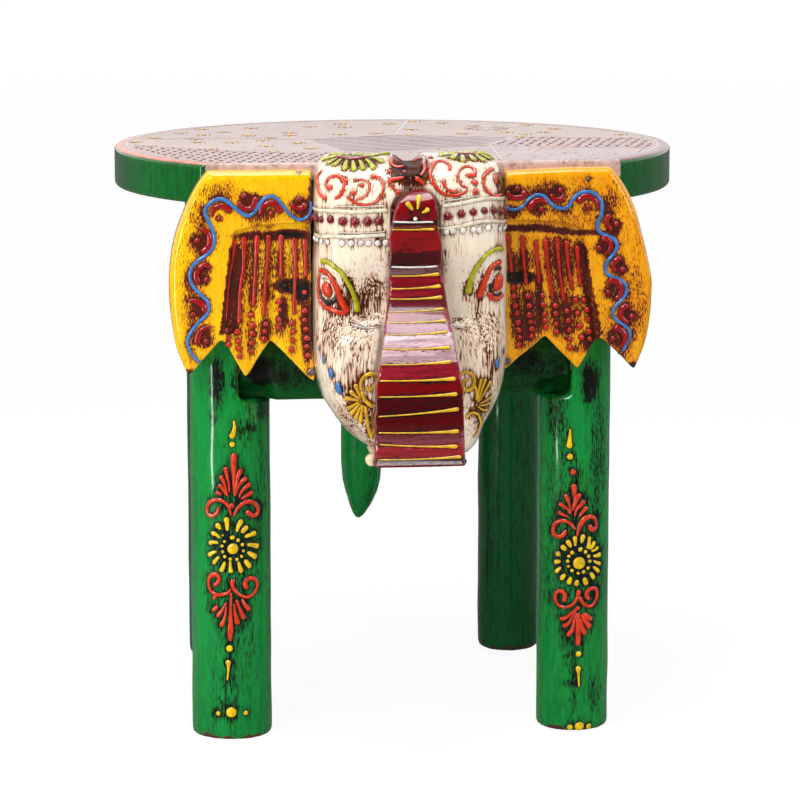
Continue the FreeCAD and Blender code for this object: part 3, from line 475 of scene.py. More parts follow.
# name, paint, size of the skin's grid in mm, smoothing rounds, unevenness in mm, slot
carving = {
    "leg_front_left": ("legFrontLeft", "legGreen", 1.5, 5, 0.35, "green_paint"),
    "leg_front_right": ("legFrontRight", "legGreen", 1.5, 5, 0.35, "green_paint"),
    "leg_rear_left": ("legRearLeft", "rearGreen", 1.6, 5, 0.35, "green_paint"),
    "leg_rear_right": ("legRearRight", "rearGreen", 1.6, 5, 0.35, "green_paint"),
    "apron_front": ("apronFront", "boardGreen", 1.7, 3, 0.25, "green_paint"),
    "apron_rear": ("apronRear", "boardGreen", 1.7, 3, 0.25, "green_paint"),
    "apron_left": ("apronLeft", "boardGreen", 1.7, 3, 0.25, "green_paint"),
    "apron_right": ("apronRight", "boardGreen", 1.7, 3, 0.25, "green_paint"),
    "head": ("headCarved", "headIvory", 1.0, 8, 0.3, "ivory_paint"),
    "trunk": ("trunkCarved", "trunkCrimson", 0.9, 6, 0.25, "crimson_paint"),
    "ear_left": ("earLeft", "earYellow", 0.85, 5, 0.25, "yellow_paint"),
    "ear_right": ("earRight", "earAmber", 0.85, 5, 0.25, "yellow_paint"),
    "tail": ("tailTurned", "legGreen", 1.0, 6, 0.2, "green_paint"),
    "tusk_left": ("tuskLeft", "tuskCream", 0.4, 3, 0.05, "tusk_paint"),
    "tusk_right": ("tuskRight", "tuskCream", 0.4, 3, 0.05, "tusk_paint"),
}
hosts = {}
for seed, (node, look) in enumerate(carving.items()):
    hosts[node] = carvedCopy(node, *look[:-1], seed)
print("carved copies:", len(hosts))


# The seat's round board: painted top, rim band, green edge and plain underside

seat = {
    "centre": (0.0, 28.0),
    "radius": 150.0,
    "front": -76.0,        # straight front edge
    "top": 303.0,
    "thick": 21.0,
    "arcStep": 0.8,        # degrees between the rim's points
    "frontStep": 2.0,      # mm along the straight front
    "rings": 88,
    "roundOver": 2.2,
    "middleBack": 8.0,     # mm from the centre to where the rings start
    "edgeAngles": (90, 65, 40, 15, 0),
    "sideShares": (0.2, 0.4, 0.6, 0.8),
    "underShares": (0.9, 0.7, 0.45, 0.2),
    "frontRings": 4,       # rings that the straight edge's paint reaches down
    "sideRings": 9,        # rings that are green before the plain underside
    "bandFrom": 145.4,     # mm from the middle, where the rim's band starts
    "bandColour": (236, 140, 120),
    "bandDark": (150, 104, 108),
    # the straight edge is paler than the panels: painted glare, so this upright face matches the
    # glare on the top
    "frontColourPaintedGlare": (214, 190, 184),
    "frontHalf": 106.2,     # mm each way that the straight edge is painted
}


def seatOutline():
    cx, cy = seat["centre"]
    half = math.sqrt(seat["radius"] ** 2 - (cy - seat["front"]) ** 2)
    start = math.atan2(seat["front"] - cy, half)
    steps = int(math.degrees(math.pi - 2 * start) / seat["arcStep"])
    sweep = math.pi - 2 * start
    ring = [(cx + seat["radius"] * math.cos(start + sweep * i / steps),
             cy + seat["radius"] * math.sin(start + sweep * i / steps)) for i in range(steps + 1)]
    across = int(2 * half / seat["frontStep"])
    ring += [(cx - half + 2 * half * i / across, seat["front"]) for i in range(1, across)]
    return ring


def makeSeat():
    cx, cy = seat["centre"]
    outline = seatOutline()
    middle = Vector((cx, cy - seat["middleBack"]))
    soft = seat["roundOver"]
    edge = [(math.cos(math.radians(a)), math.sin(math.radians(a))) for a in seat["edgeAngles"]]
    work = bmesh.new()
    rings = []

    def ring(inset, height, fraction=None):
        made = []
        for x, y in outline:
            away = Vector((x, y)) - middle
            reach = away.length - inset if fraction is None else away.length * fraction
            spot = middle + away.normalized() * reach
            made.append(work.verts.new((spot.x * mm, spot.y * mm, height * mm)))
        rings.append(made)

    full = 1.0 - soft / seat["radius"]
    for i in range(1, seat["rings"]):
        ring(0, seat["top"], i / seat["rings"] * full)
    for out, up in edge:
        ring(soft - soft * out, seat["top"] - soft + soft * up)
    for share in seat["sideShares"]:
        ring(0, seat["top"] - soft - (seat["thick"] - 2 * soft) * share)
    for out, up in reversed(edge):
        ring(soft - soft * out, seat["top"] - seat["thick"] + soft - soft * up)
    for fraction in seat["underShares"]:
        ring(0, seat["top"] - seat["thick"], fraction * full)
    topCentre = work.verts.new((middle.x * mm, middle.y * mm, seat["top"] * mm))
    lowCentre = work.verts.new((middle.x * mm, middle.y * mm, (seat["top"] - seat["thick"]) * mm))
    count = len(outline)
    topRings = seat["rings"] + 1
    for i in range(count):
        j = (i + 1) % count
        work.faces.new((topCentre, rings[0][i], rings[0][j]))
        for n, (inner, outer) in enumerate(zip(rings, rings[1:])):
            face = work.faces.new((inner[i], outer[i], outer[j], inner[j]))
            straight = (outline[i][1] < seat["front"] + 0.1 and outline[j][1] < seat["front"] + 0.1
                        and abs(outline[i][0]) < seat["frontHalf"])
            painted = topRings + (seat["frontRings"] if straight else 0)
            green = topRings + seat["sideRings"]
            face.material_index = 0 if n < painted else (1 if n < green else 2)
        work.faces.new((lowCentre, rings[-1][j], rings[-1][i])).material_index = 2
    bmesh.ops.recalc_face_normals(work, faces=work.faces)
    mesh = bpy.data.meshes.new("seatPainted")
    work.to_mesh(mesh)
    work.free()
    for name in ("seatPaint", "edgeGreen", "boardGreen"):
        mesh.materials.append(finish[name])
    for polygon in mesh.polygons:
        polygon.use_smooth = True
    piece = addObject("seatPainted", mesh)
    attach(piece, "root")
    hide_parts("seat_top")
    return piece


hosts["seat_top"] = makeSeat()
for node, material in (("apron_dowels", "rawWood"), ("trunk_pegs", "rawWood"),
                       ("head_screws", "screwSteel"), ("tail_screws", "screwSteel")):
    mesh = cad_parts[node].data
    mesh.materials.clear()
    mesh.materials.append(finish[material])
print("seat and fixings done")


# Carving: hollows and swellings pressed into a copy before anything is drawn on it

def skinOf(piece):
    return BVHTree.FromObject(piece, bpy.context.evaluated_depsgraph_get())


searchBack = (0.16, 0.13, 0.1, 0.06, 0.0, -0.1)   # metres before the camera's target


def photoSpot(skin, x, y):
    # where a pixel of the photo falls on a piece, or the nearest place if it just misses
    sight = sightLine(x, y)
    hit = skin.ray_cast(camera["place"], sight)[0]
    if hit is None:
        reach = (camera["target"] - camera["place"]).length
        for back in searchBack:
            near = skin.find_nearest(camera["place"] + sight * (reach - back))
            if hit is None or near[3] < best:
                hit, best = near[0], near[3]
    return hit


pressFall = 1.6   # how steeply a hollow ends
headCarving = {
    # pixel, half width and half height in mm, and how far in (+) or out (-)
    "hollowLeft": (372, 298, 10, 13, 2.6),
    "hollowLeftLow": (372, 316, 12, 7, 1.3),
    "ledgeLeft": (366, 335, 14, 8, -1.2),
    "hollowRight": (462, 314, 10, 5, 1.6),
    "ledgeRight": (464, 332, 12, 7, -1.4),
    "eyeLeft": (330, 292, 8, 14, -1.2),
    "eyeRight": (495, 282, 8, 14, -1.2),
    "browLeft": (346, 262, 12, 9, -1.4),
    "browRight": (475, 255, 12, 9, -1.4),
    "cheekLeft": (338, 372, 14, 24, -1.2),
    "cheekRight": (484, 372, 14, 24, -1.2),
    "bandLeft": (356, 222, 24, 5, 0.8),
    "bandRight": (470, 214, 20, 5, 0.8),
}


def carveHead(piece):
    skin = skinOf(piece)
    presses = [(photoSpot(skin, x, y), wide * mm, high * mm, depth * mm)
               for x, y, wide, high, depth in headCarving.values()]
    for vertex in piece.data.vertices:
        if vertex.normal.y > -0.1:
            continue
        for spot, wide, high, depth in presses:
            away = ((vertex.co.x - spot.x) / wide) ** 2 + ((vertex.co.z - spot.z) / high) ** 2
            if away < 4:
                vertex.co.y += depth * math.exp(-pressFall * away)
    piece.data.update()


# Nudges: small corrections of the hand-cut outlines, (from pixel) -> (to pixel), reach in pixels

nudges = {
    "ear_left": (17, [
        ((250, 165), (250, 169)), ((225, 165), (225, 169)), ((275, 165), (275, 169)),
        ((300, 165), (300, 169)), ((203, 165), (207, 169)), ((190, 181), (196, 184)),
        ((180, 200), (187, 203)), ((171.5, 227), (176.5, 228)), ((166, 257), (170.5, 257)),
        ((165.4, 288), (170, 288)), ((169, 318), (173, 318)), ((177, 349), (179, 350)),
        ((185.3, 371.3), (188.3, 373.6)), ((215.9, 343.3), (221.3, 340)),
        ((242.2, 371.3), (245.8, 376.3)), ((306.5, 367.5), (309.5, 377))]),
    "ear_right": (17, [
        ((506, 163), (506, 169.5)), ((530, 163), (530, 168)), ((555, 163), (555, 167)),
        ((580, 163), (580, 166.5)), ((607, 163), (608, 167)), ((627.8, 187), (625, 188)),
        ((640.8, 223.5), (639, 223.5)), ((647.7, 288), (651.2, 288)),
        ((643, 321.5), (648.3, 321.5)), ((635.5, 349), (642.4, 350)), ((628.6, 365), (633, 368)),
        ((572.7, 366), (577, 367))]),
    "head": (14, [
        ((313.3, 180), (316, 180)), ((313, 230), (315.6, 230)), ((313, 262), (313.6, 262)),
        ((312, 296), (313, 296)), ((312, 325), (313, 325)), ((313, 350), (314.5, 349)),
        ((504, 370), (501.8, 370)), ((500, 380), (498, 380)), ((502, 400), (498.3, 399)),
        ((493.5, 420), (488.5, 419)), ((318, 158), (318.5, 156)), ((506, 172), (500.5, 171)),
        ((506.5, 195), (502.5, 195)), ((507, 225), (504.6, 225)), ((500, 158), (497.5, 156)),
        ((317, 390), (319.5, 388)), ((328, 421), (333, 416)), ((342, 439), (349, 434)),
        ((368, 462), (374, 453)), ((469, 443), (471, 449))]),
    "trunk": (9, [
        ((401, 194), (405, 195)), ((414, 188), (420, 189)), ((427, 191.5), (431, 190.6)),
        ((395.5, 208), (397, 208)), ((438, 203), (434, 201)), ((442.4, 226), (439, 226)),
        ((391.8, 240), (389, 240)), ((391.3, 270), (388.6, 270)), ((444, 270), (442.4, 270))]),
    "tusk_right": (12, [((464.5, 459.3), (463.2, 462.2))]),
    "tail": (12, [((361.7, 512), (358.4, 517))]),
}
trunkLean = {"left": 4.4, "right": 2.8, "from": -126.0, "over": 52.0,   # mm, as it comes forward
             "middle": -3.0, "half": 12.0}


def nudgePiece(node, piece):
    reach, moves = nudges[node]
    for vertex in piece.data.vertices:
        x, y = photoPixel(vertex.co)
        weights = [math.exp(-((x - a[0]) ** 2 + (y - a[1]) ** 2) / (2 * reach * reach))
                   for a, b in moves]
        total = max(1.0, sum(weights))
        dx = sum(w * (b[0] - a[0]) for w, (a, b) in zip(weights, moves)) / total
        dy = sum(w * (b[1] - a[1]) for w, (a, b) in zip(weights, moves)) / total
        away = (vertex.co - camera["place"]).dot(camera["forward"]) / camera["focalPixels"]
        vertex.co.x += dx * away
        vertex.co.z -= dy * away
    piece.data.update()


def leanTrunk(piece):
    # the front face drifts to the left on its way out
    for vertex in piece.data.vertices:
        out = (trunkLean["from"] * mm - vertex.co.y) / (trunkLean["over"] * mm)
        if out > 0:
            across = vertex.co.x / mm - trunkLean["middle"] + trunkLean["half"]
            side = min(1.0, max(0.0, across / (2 * trunkLean["half"])))
            drift = trunkLean["left"] * (1 - side) + trunkLean["right"] * side
            vertex.co.x -= drift * mm * min(out, 1.0)
    piece.data.update()


apronEnds = {   # mm
    "left": (-70.0, -76.0), "right": (65.0, 71.0), "back": (3.0, 9.0), "heights": (191.0, 184.0),
    "rear": -60.0, "thick": 16.0,
}


def tuckApron(piece):
    # the front board's face turns in where it meets the round legs, most along its foot
    shallow, deep = apronEnds["back"]
    high, low = apronEnds["heights"]
    for vertex in piece.data.vertices:
        x, y, z = vertex.co / mm
        start, end = apronEnds["left" if x < 0 else "right"]
        share = min(1.0, max(0.0, (x - start) / (end - start)))
        share *= min(1.0, max(0.0, (apronEnds["rear"] - y) / apronEnds["thick"]))
        foot = min(1.0, max(0.0, (high - z) / (high - low)))
        vertex.co.y += (shallow + (deep - shallow) * foot) * mm * share
    piece.data.update()


tuskPeg = {"start": 5.0, "over": 2.0, "bendOver": 12.0}   # mm behind the tip
tuskShape = {   # size of the ball, how much thinner the peg behind it, mm it bends inwards
    "tusk_left": (1.0, 0.6, 3.0),
    "tusk_right": (0.7, 0.6, -2.0),
}


def shapeTusk(node, piece):
    ball, thin, bend = tuskShape[node]
    tip = min(v.co.y for v in piece.data.vertices)
    middle = (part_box(node)[0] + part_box(node)[1]) / 2
    for vertex in piece.data.vertices:
        back = max(0.0, (vertex.co.y - tip) / mm - tuskPeg["start"])
        size = ball * (1 + (thin - 1) * min(1.0, back / tuskPeg["over"]))
        inwards = bend * mm * min(1.0, back / tuskPeg["bendOver"])
        vertex.co.x = middle.x + (vertex.co.x - middle.x) * size + inwards
        vertex.co.z = middle.z + (vertex.co.z - middle.z) * size
    piece.data.update()


for node in tuskShape:
    shapeTusk(node, hosts[node])
leanTrunk(hosts["trunk"])
tuckApron(hosts["apron_front"])
for node in nudges:
    nudgePiece(node, hosts[node])
carveHead(hosts["head"])
skins = {node: skinOf(piece) for node, piece in hosts.items()}
ornaments = {node: [] for node in hosts}


# Geometry Nodes: raised lines and drops of paint that lie on a piece

def layOnHost(tree, source, geometry):
    # the points moved onto the host's skin, and that skin's normal near them
    host = place(tree, "GeometryNodeObjectInfo", {"Object": source["Host"]}).outputs["Geometry"]
    closest = place(tree, "GeometryNodeProximity", {0: host}, target_element="FACES")
    laid = place(tree, "GeometryNodeSetPosition", {"Geometry": geometry,
                                                   "Position": closest.outputs["Position"]})
    skin = place(tree, "GeometryNodeCaptureAttribute", {0: host})
    skin.capture_items.new("VECTOR", "Normal")
    tree.links.new(place(tree, "GeometryNodeInputNormal").outputs[0], skin.inputs["Normal"])
    outward = place(tree, "GeometryNodeSampleNearestSurface", data_type="FLOAT_VECTOR")
    tree.links.new(skin.outputs[0], outward.inputs["Mesh"])
    tree.links.new(skin.outputs["Normal"], outward.inputs["Value"])
    return laid.outputs[0], outward.outputs[0]


def endTree(tree, source, geometry):
    smooth = place(tree, "GeometryNodeSetShadeSmooth", {0: geometry})
    real = place(tree, "GeometryNodeRealizeInstances", {0: smooth.outputs[0]})
    done = place(tree, "GeometryNodeSetMaterial", {0: real.outputs[0],
                                                   "Material": source["Material"]})
    place(tree, "NodeGroupOutput", {0: done.outputs[0]})
    return tree


lineRule = {"evenRounds": 3, "thinnest": 0.03}   # smoothing of its path, and its end's width


def makeLineTree():
    tree = bpy.data.node_groups.new("RaisedLine", "GeometryNodeTree")
    addSockets(tree, "INPUT", [("Geometry", "Geometry"), ("Host", "Object"), ("Step", "Float"),
                               ("Sides", "Int"), ("Flatness", "Float"), ("Material", "Material")])
    addSockets(tree, "OUTPUT", [("Geometry", "Geometry")])
    source = place(tree, "NodeGroupInput").outputs
    cut = place(tree, "GeometryNodeResampleCurve", {"Curve": source["Geometry"],
                                                    "Length": source["Step"]}, mode="LENGTH")
    laid, outward = layOnHost(tree, source, cut.outputs[0])
    spot = place(tree, "GeometryNodeInputPosition").outputs[0]
    even = place(tree, "GeometryNodeBlurAttribute", data_type="FLOAT_VECTOR")
    tree.links.new(spot, even.inputs["Value"])
    even.inputs["Iterations"].default_value = lineRule["evenRounds"]
    laid = place(tree, "GeometryNodeSetPosition", {"Geometry": laid,
                                                   "Position": even.outputs[0]})
    # round ends: the line thins over its last half width
    along = place(tree, "GeometryNodeSplineParameter").outputs["Length"]
    whole = place(tree, "GeometryNodeSplineLength").outputs["Length"]
    width = place(tree, "GeometryNodeInputRadius").outputs[0]
    toEnd = calc(tree, "MINIMUM", along, calc(tree, "SUBTRACT", whole, along))
    share = calc(tree, "SUBTRACT", 1.0, calc(tree, "DIVIDE", toEnd, width, True))
    rounding = calc(tree, "SQRT", calc(tree, "MAXIMUM", lineRule["thinnest"], calc(
        tree, "SUBTRACT", 1.0, calc(tree, "MULTIPLY", share, share))))
    kept = place(tree, "GeometryNodeCaptureAttribute", {0: laid.outputs[0]})
    for name, kind, value in (("Centre", "VECTOR", spot), ("Outward", "VECTOR", outward),
                              ("Size", "FLOAT", calc(tree, "MULTIPLY", width, rounding))):
        kept.capture_items.new(kind, name)
        tree.links.new(value, kept.inputs[name])
    ring = place(tree, "GeometryNodeCurvePrimitiveCircle", {"Resolution": source["Sides"],
                                                            "Radius": 1.0})
    swept = place(tree, "GeometryNodeCurveToMesh", {
        "Curve": kept.outputs[0], "Profile Curve": ring.outputs[0],
        "Scale": kept.outputs["Size"], "Fill Caps": True})
    # pressed flat against the skin; how far a point rises is kept for the paint's foot
    offset = place(tree, "ShaderNodeVectorMath", {0: spot, 1: kept.outputs["Centre"]},
                   operation="SUBTRACT").outputs[0]
    lift = place(tree, "ShaderNodeVectorMath", {0: offset, 1: kept.outputs["Outward"]},
                 operation="DOT_PRODUCT").outputs["Value"]
    drop = calc(tree, "MULTIPLY", lift, calc(tree, "SUBTRACT", source["Flatness"], 1.0))
    press = place(tree, "ShaderNodeVectorMath", {0: kept.outputs["Outward"], 3: drop},
                  operation="SCALE").outputs[0]
    pressed = place(tree, "GeometryNodeSetPosition", {"Geometry": swept.outputs[0],
                                                      "Offset": press})
    rise = place(tree, "GeometryNodeStoreNamedAttribute", {
        "Geometry": pressed.outputs[0], "Name": "rise",
        "Value": calc(tree, "DIVIDE", lift, kept.outputs["Size"])})
    return endTree(tree, source, rise.outputs[0])


def makeDropTree():
    tree = bpy.data.node_groups.new("PaintDrops", "GeometryNodeTree")
    addSockets(tree, "INPUT", [("Geometry", "Geometry"), ("Host", "Object"), ("Rings", "Int"),
                               ("Height", "Float"), ("Material", "Material")])
    addSockets(tree, "OUTPUT", [("Geometry", "Geometry")])
    source = place(tree, "NodeGroupInput").outputs
    laid, outward = layOnHost(tree, source, source["Geometry"])
    turn = place(tree, "FunctionNodeAlignRotationToVector", {"Vector": outward})
    turn.axis = "Z"
    ball = place(tree, "GeometryNodeMeshUVSphere", {
        "Segments": calc(tree, "MULTIPLY", source["Rings"], 2.0), "Rings": source["Rings"],
        "Radius": 1.0})
    up = place(tree, "ShaderNodeSeparateXYZ", {
        0: place(tree, "GeometryNodeInputPosition").outputs[0]}).outputs[2]
    rise = place(tree, "GeometryNodeStoreNamedAttribute", {
        "Geometry": ball.outputs[0], "Name": "rise", "Value": up})
    size = place(tree, "GeometryNodeInputNamedAttribute", {"Name": "size"}).outputs[0]
    scale = place(tree, "ShaderNodeCombineXYZ", {
        0: size, 1: size, 2: calc(tree, "MULTIPLY", size, source["Height"])})
    drops = place(tree, "GeometryNodeInstanceOnPoints", {
        "Points": laid, "Instance": rise.outputs[0], "Rotation": turn.outputs[0],
        "Scale": scale.outputs[0]})
    return endTree(tree, source, drops.outputs[0])


lineTree = makeLineTree()
dropTree = makeDropTree()


def runTree(holder, tree, values, name, node):
    # sets the named inputs by their identifiers, then keeps the result as a plain mesh
    modifier = holder.modifiers.new("paint", "NODES")
    modifier.node_group = tree
    for item in tree.interface.items_tree:
        if item.item_type == "SOCKET" and item.in_out == "INPUT" and item.name in values:
            modifier[item.identifier] = values[item.name]
    mesh = plainMesh(holder, name)
    bpy.data.objects.remove(holder)
    piece = addObject(name, mesh)
    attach(piece, "root")
    ornaments[node].append(piece)
    return piece


slotNames = {node: values[-1] for node, values in carving.items()}
slotNames["seat_top"] = "seat_paint"


def spreadWidths(count, widths):
    # half widths in mm spread evenly along the points of a line
    if len(widths) == 1:
        return [widths[0]] * count
    made = []
    for i in range(count):
        at = i / max(1, count - 1) * (len(widths) - 1)
        low = min(int(at), len(widths) - 2)
        made.append(widths[low] + (widths[low + 1] - widths[low]) * (at - low))
    return made


def paintLines(name, node, lines, material, step=0.45, sides=8, flatness=0.8):
    # lines: (places on the piece, half widths in mm)
    curve = bpy.data.curves.new(name, "CURVE")
    curve.dimensions = "3D"
    curve.resolution_u = 8
    for places, widths in lines:
        spline = curve.splines.new("BEZIER")
        spline.bezier_points.add(len(places) - 1)
        for point, spot, width in zip(spline.bezier_points, places,
                                      spreadWidths(len(places), widths)):
            point.co = spot
            point.radius = width * mm
            point.handle_left_type = point.handle_right_type = "AUTO"
    holder = bpy.data.objects.new(name + "_work", curve)
    scene.collection.objects.link(holder)
    return runTree(holder, lineTree, {"Host": hosts[node], "Step": step * mm, "Sides": sides,
                                      "Flatness": flatness, "Material": finish[material]},
                   name, node)


def paintDrops(name, node, drops, material, rings=6, height=0.8):
    # drops: (place, radius in mm)
    mesh = bpy.data.meshes.new(name)
    mesh.from_pydata([spot for spot, radius in drops], [], [])
    size = mesh.attributes.new("size", "FLOAT", "POINT")
    size.data.foreach_set("value", [radius * mm for spot, radius in drops])
    holder = addObject(name + "_work", mesh)
    return runTree(holder, dropTree, {"Host": hosts[node], "Rings": rings, "Height": height,
                                      "Material": finish[material]}, name, node)


def traced(node, pixels):
    return [photoSpot(skins[node], x, y) for x, y in pixels]


def tracedLines(node, lines, tip=0.0, wider=1.0):
    # a stroke's drawn end is the middle of its blob, so it goes on by a share of the blob's radius
    made = []
    for pixels, widths in lines:
        (ax, ay), (bx, by) = pixels[-2:]
        far = tip * widths[-1] * camera["pixelsPerMm"] / math.hypot(bx - ax, by - ay)
        end = (bx + (bx - ax) * far, by + (by - ay) * far)
        made.append((traced(node, pixels[:-1] + [end]), [width * wider for width in widths]))
    return made


def tracedDrops(node, drops):
    return [(photoSpot(skins[node], x, y), radius) for x, y, radius in drops]


def drawLines(name, node, lines, paint, tip=0.0, wider=1.0, step=0.4, sides=8, flatness=0.8):
    return paintLines(name, node, tracedLines(node, lines, tip, wider), paint, step, sides,
                      flatness)


def drawDrops(name, node, drops, paint, rings=6, height=0.8):
    return paintDrops(name, node, tracedDrops(node, drops), paint, rings, height)


sideProbe = 0.4   # metres out from the middle, where a side is looked at from


def aroundSide(node, start, side, back, step=6.0):
    # carries on from a drawn end round the side of a piece, at the same height
    made, depth = [], start.y + step * mm
    while depth < back * mm:
        hit = skins[node].ray_cast(Vector((sideProbe * side, depth, start.z)),
                                   Vector((-side, 0, 0)))[0]
        if hit is not None:
            made.append(hit)
        depth += step * mm
    return made


# Ears: a blue wave, crimson scrolls, orange drips over the fold and dots under them

earLeftDrawing = {
    "wave": [
        (310.7, 200.5), (309.2, 214.3), (300.8, 219.6), (291.6, 215.8), (282.4, 205.1),
        (274, 196.7), (267.1, 196.7), (261, 202), (254.9, 211.2), (248.8, 215.8), (241.1, 212.7),
        (233.4, 206.6), (225.8, 200.5), (218.1, 199), (210.5, 202.8), (205.1, 211.2), (209, 221.9),
        (213.6, 232.6), (213.6, 244.9), (207.4, 254), (196.7, 261.7), (190.6, 270.9),
        (191.4, 283.1), (199.8, 293.8), (208.2, 303), (207.4, 313.7), (199.8, 321.4),
        (192.1, 330.6), (187.5, 341.3), (190.6, 352), (200.5, 363.5)],
    "scrolls": [
        [(290.8, 202), (294.7, 207.4), (302.3, 207.4), (305.4, 202)],
        [(259.5, 215.8), (262.5, 206.6), (270.2, 202.8), (277.8, 206.6), (280.9, 214.3)],
        [(238.8, 200.5), (241.1, 206.6), (248.8, 208.9), (254.9, 202), (254.1, 195.9)],
        [(211.3, 217.3), (212.8, 209.7), (219.7, 205.9), (227.3, 208.9), (230.4, 213.5)],
        [(199, 228), (205.9, 231.1), (209.7, 238.8), (207.4, 247.9), (200.5, 252.5)],
        [(212, 268.6), (204.4, 264.8), (198.3, 269.4), (196, 277), (199.8, 284.7)],
        [(187.5, 300.7), (196.7, 301.5), (203.6, 306.1), (204.4, 313.7)],
        [(210.5, 327.5), (202.8, 329), (198.3, 335.2), (196.7, 345.9)]],
    "scrollDrops": [
        (298.5, 199, 1.5), (270.9, 213.5, 1.6), (243.9, 195.9, 1.6), (219.4, 218.4, 1.6),
        (197, 240.6, 1.6), (206.4, 280, 1.5), (192.9, 314.5, 1.5), (205.9, 341.3, 1.5)],
    "drips": [
        [(234.5, 238.8), (232.7, 257.1), (228.9, 280), (226.6, 304.6), (225.8, 322.9)],
        [(243.7, 235.7), (243.4, 266.3), (240.3, 287.7), (238.8, 324.4)],
        [(256.7, 233.9), (255.6, 264.8), (253.3, 307.6)],
        [(269, 233.4), (267.9, 257.1), (265.6, 280), (264.1, 316.8)],
        [(280.9, 233.4), (280.9, 256), (280.9, 278.5)],
        [(294.2, 236.5), (295.4, 264.8), (294.7, 287.7), (294.2, 315.3)],
        [(304.6, 237.2), (305.4, 260.2), (305.7, 277.8)]],
    "dots": [
        (226.3, 330.6), (227.6, 339), (228.4, 344.3), (237, 331.8), (238.5, 341.3), (239.1, 348.6),
        (239.9, 356.6), (251.4, 315), (252.6, 325.2), (252.3, 333.6), (251.8, 343.1),
        (251.4, 351.7), (265.6, 324.1), (264.5, 331.3), (263.7, 339), (279.8, 301.5),
        (279.8, 309.9), (279.1, 319.5), (278.6, 327.5), (291.9, 322.9), (293.1, 331.6),
        (292.8, 340.5), (291.9, 349.7), (304.6, 292.3), (304.6, 310.7), (304.6, 319.9),
        (305.7, 329), (306.9, 338.2), (306.9, 346.4), (308, 355.2)],
    "nail": (299, 172, 1.1),
    "screw": (311, 372, 1.9),
}
earRightDrawing = {
    "wave": [
        (503.4, 195.1), (505.5, 204.8), (510.4, 209), (517.4, 209), (523.1, 205.5), (528.7, 199.2),
        (535.7, 195), (543.4, 195.7), (548.3, 200.6), (553.9, 206.2), (560.9, 208.3),
        (567.9, 206.9), (572.1, 199.9), (577.7, 194.3), (584.8, 191.7), (593.2, 192.9),
        (599.5, 198.5), (602.3, 205.5), (600.9, 215.3), (597.4, 225.1), (599.5, 232.1),
        (607.2, 235.6), (614.2, 239.2), (617, 246.2), (612.8, 254.6), (607.2, 261.6),
        (605.1, 268.6), (608.6, 274.9), (617, 278.4), (624, 282.6), (626.8, 289.6), (623.3, 298.1),
        (617, 304.4), (612.8, 310.7), (614.2, 317.7), (621.2, 323.3), (628.2, 328.9),
        (630.3, 335.9), (625.4, 345.7), (618.4, 353.5)],
    "scrolls": [
        [(507.6, 190.1), (509.7, 195.7), (516, 197.8), (523.1, 195.7), (523.8, 189.4)],
        [(546.9, 205.5), (544.8, 201.3), (538.5, 199.9), (531.5, 204.1), (528.7, 211.1)],
        [(550.4, 193.6), (552.5, 197.1), (556.7, 199.9), (562.3, 198.5), (563.7, 195.7)],
        [(596.7, 211.1), (597.4, 204.1), (593.2, 198.5), (586.2, 196.4), (580.6, 198.5),
         (577.7, 204.1)], [(612.8, 230.7), (607.9, 225.1), (607.2, 218.1), (611.4, 214.6)],
        [(604.4, 254.6), (608.6, 251.8), (610.7, 244.8), (607.2, 239.2), (600.2, 237.8)],
        [(615.6, 272.8), (612.8, 265.8), (615.6, 260.2), (622.6, 257.4)],
        [(614.2, 299.5), (619.8, 295.3), (621.2, 286.8), (615.6, 281.2), (607.2, 280.5)],
        [(629.6, 323.3), (624, 319.8), (620.5, 313.5), (622.6, 307.9), (629.6, 305.8)],
        [(618.4, 347.9), (622.6, 344.3), (625.4, 337.3), (621.2, 330.3), (612.8, 326.8)]],
    "scrollDrops": [
        (517.4, 188.7, 1.5), (541.3, 209, 1.6), (560.2, 190.1, 1.4), (563, 196.4, 1.3),
        (587.6, 206.9, 1.6), (616.3, 223.7, 1.6), (598.8, 248.3, 1.6), (622.6, 269.3, 1.6),
        (607.9, 292.4, 1.6), (631.7, 316.3, 1.6), (612.8, 338.7, 1.6)],
    "drips": [
        [(507.6, 233.5), (509.7, 253.2), (511.8, 273.5)],
        [(522.1, 234.9), (523.8, 260.2), (526.6, 285.4)],
        [(535.7, 239.2), (537.8, 267.2), (539.2, 284.2)],
        [(545.1, 237.7), (548, 267.2), (552.5, 298.1)],
        [(556.7, 236.3), (559.5, 270), (564.4, 302.3)],
        [(566.2, 239.2), (568.6, 267.2), (572.1, 290.3)],
        [(576.8, 244.1), (578.5, 267.2), (580.8, 287.5)]],
    "dots": [
        (513.2, 287.5), (513.7, 296), (515.3, 305.8), (516.7, 313.5), (518.1, 322.6),
        (518.8, 329.9), (519.5, 337.3), (518.8, 344.6), (528, 295.7), (529.1, 305.8),
        (529.4, 314.9), (530.8, 322.1), (531.7, 329), (531.7, 335.9), (542.7, 295.3),
        (543.1, 304.8), (544.5, 313.9), (545.1, 320.6), (545.8, 327.3), (555.3, 305.8),
        (555.6, 313.5), (556, 324), (556.3, 332), (566.8, 311.1), (568.2, 320.5), (569.3, 330),
        (569.8, 339.4), (570.3, 347.9), (575.4, 300.2), (577.5, 313.1), (579.9, 326.1),
        (581.5, 337.3), (584.1, 300.2), (586.9, 309.7), (588.3, 319.5), (589, 331.3),
        (589.7, 338.7)],
    "nail": (588, 179, 0.8),
    "screw": (507, 361, 1.9),
}
earWidths = {   # half widths in mm
    "wave": (0.75, 1.0, 1.05, 0.95, 0.8), "scroll": (1.0, 1.6, 2.0),
    "drip": (1.7, 0.9, 0.8, 0.8, 1.0), "dot": 1.55, "dotSpread": (0.88, 1.1), "dotSeed": 5,
}


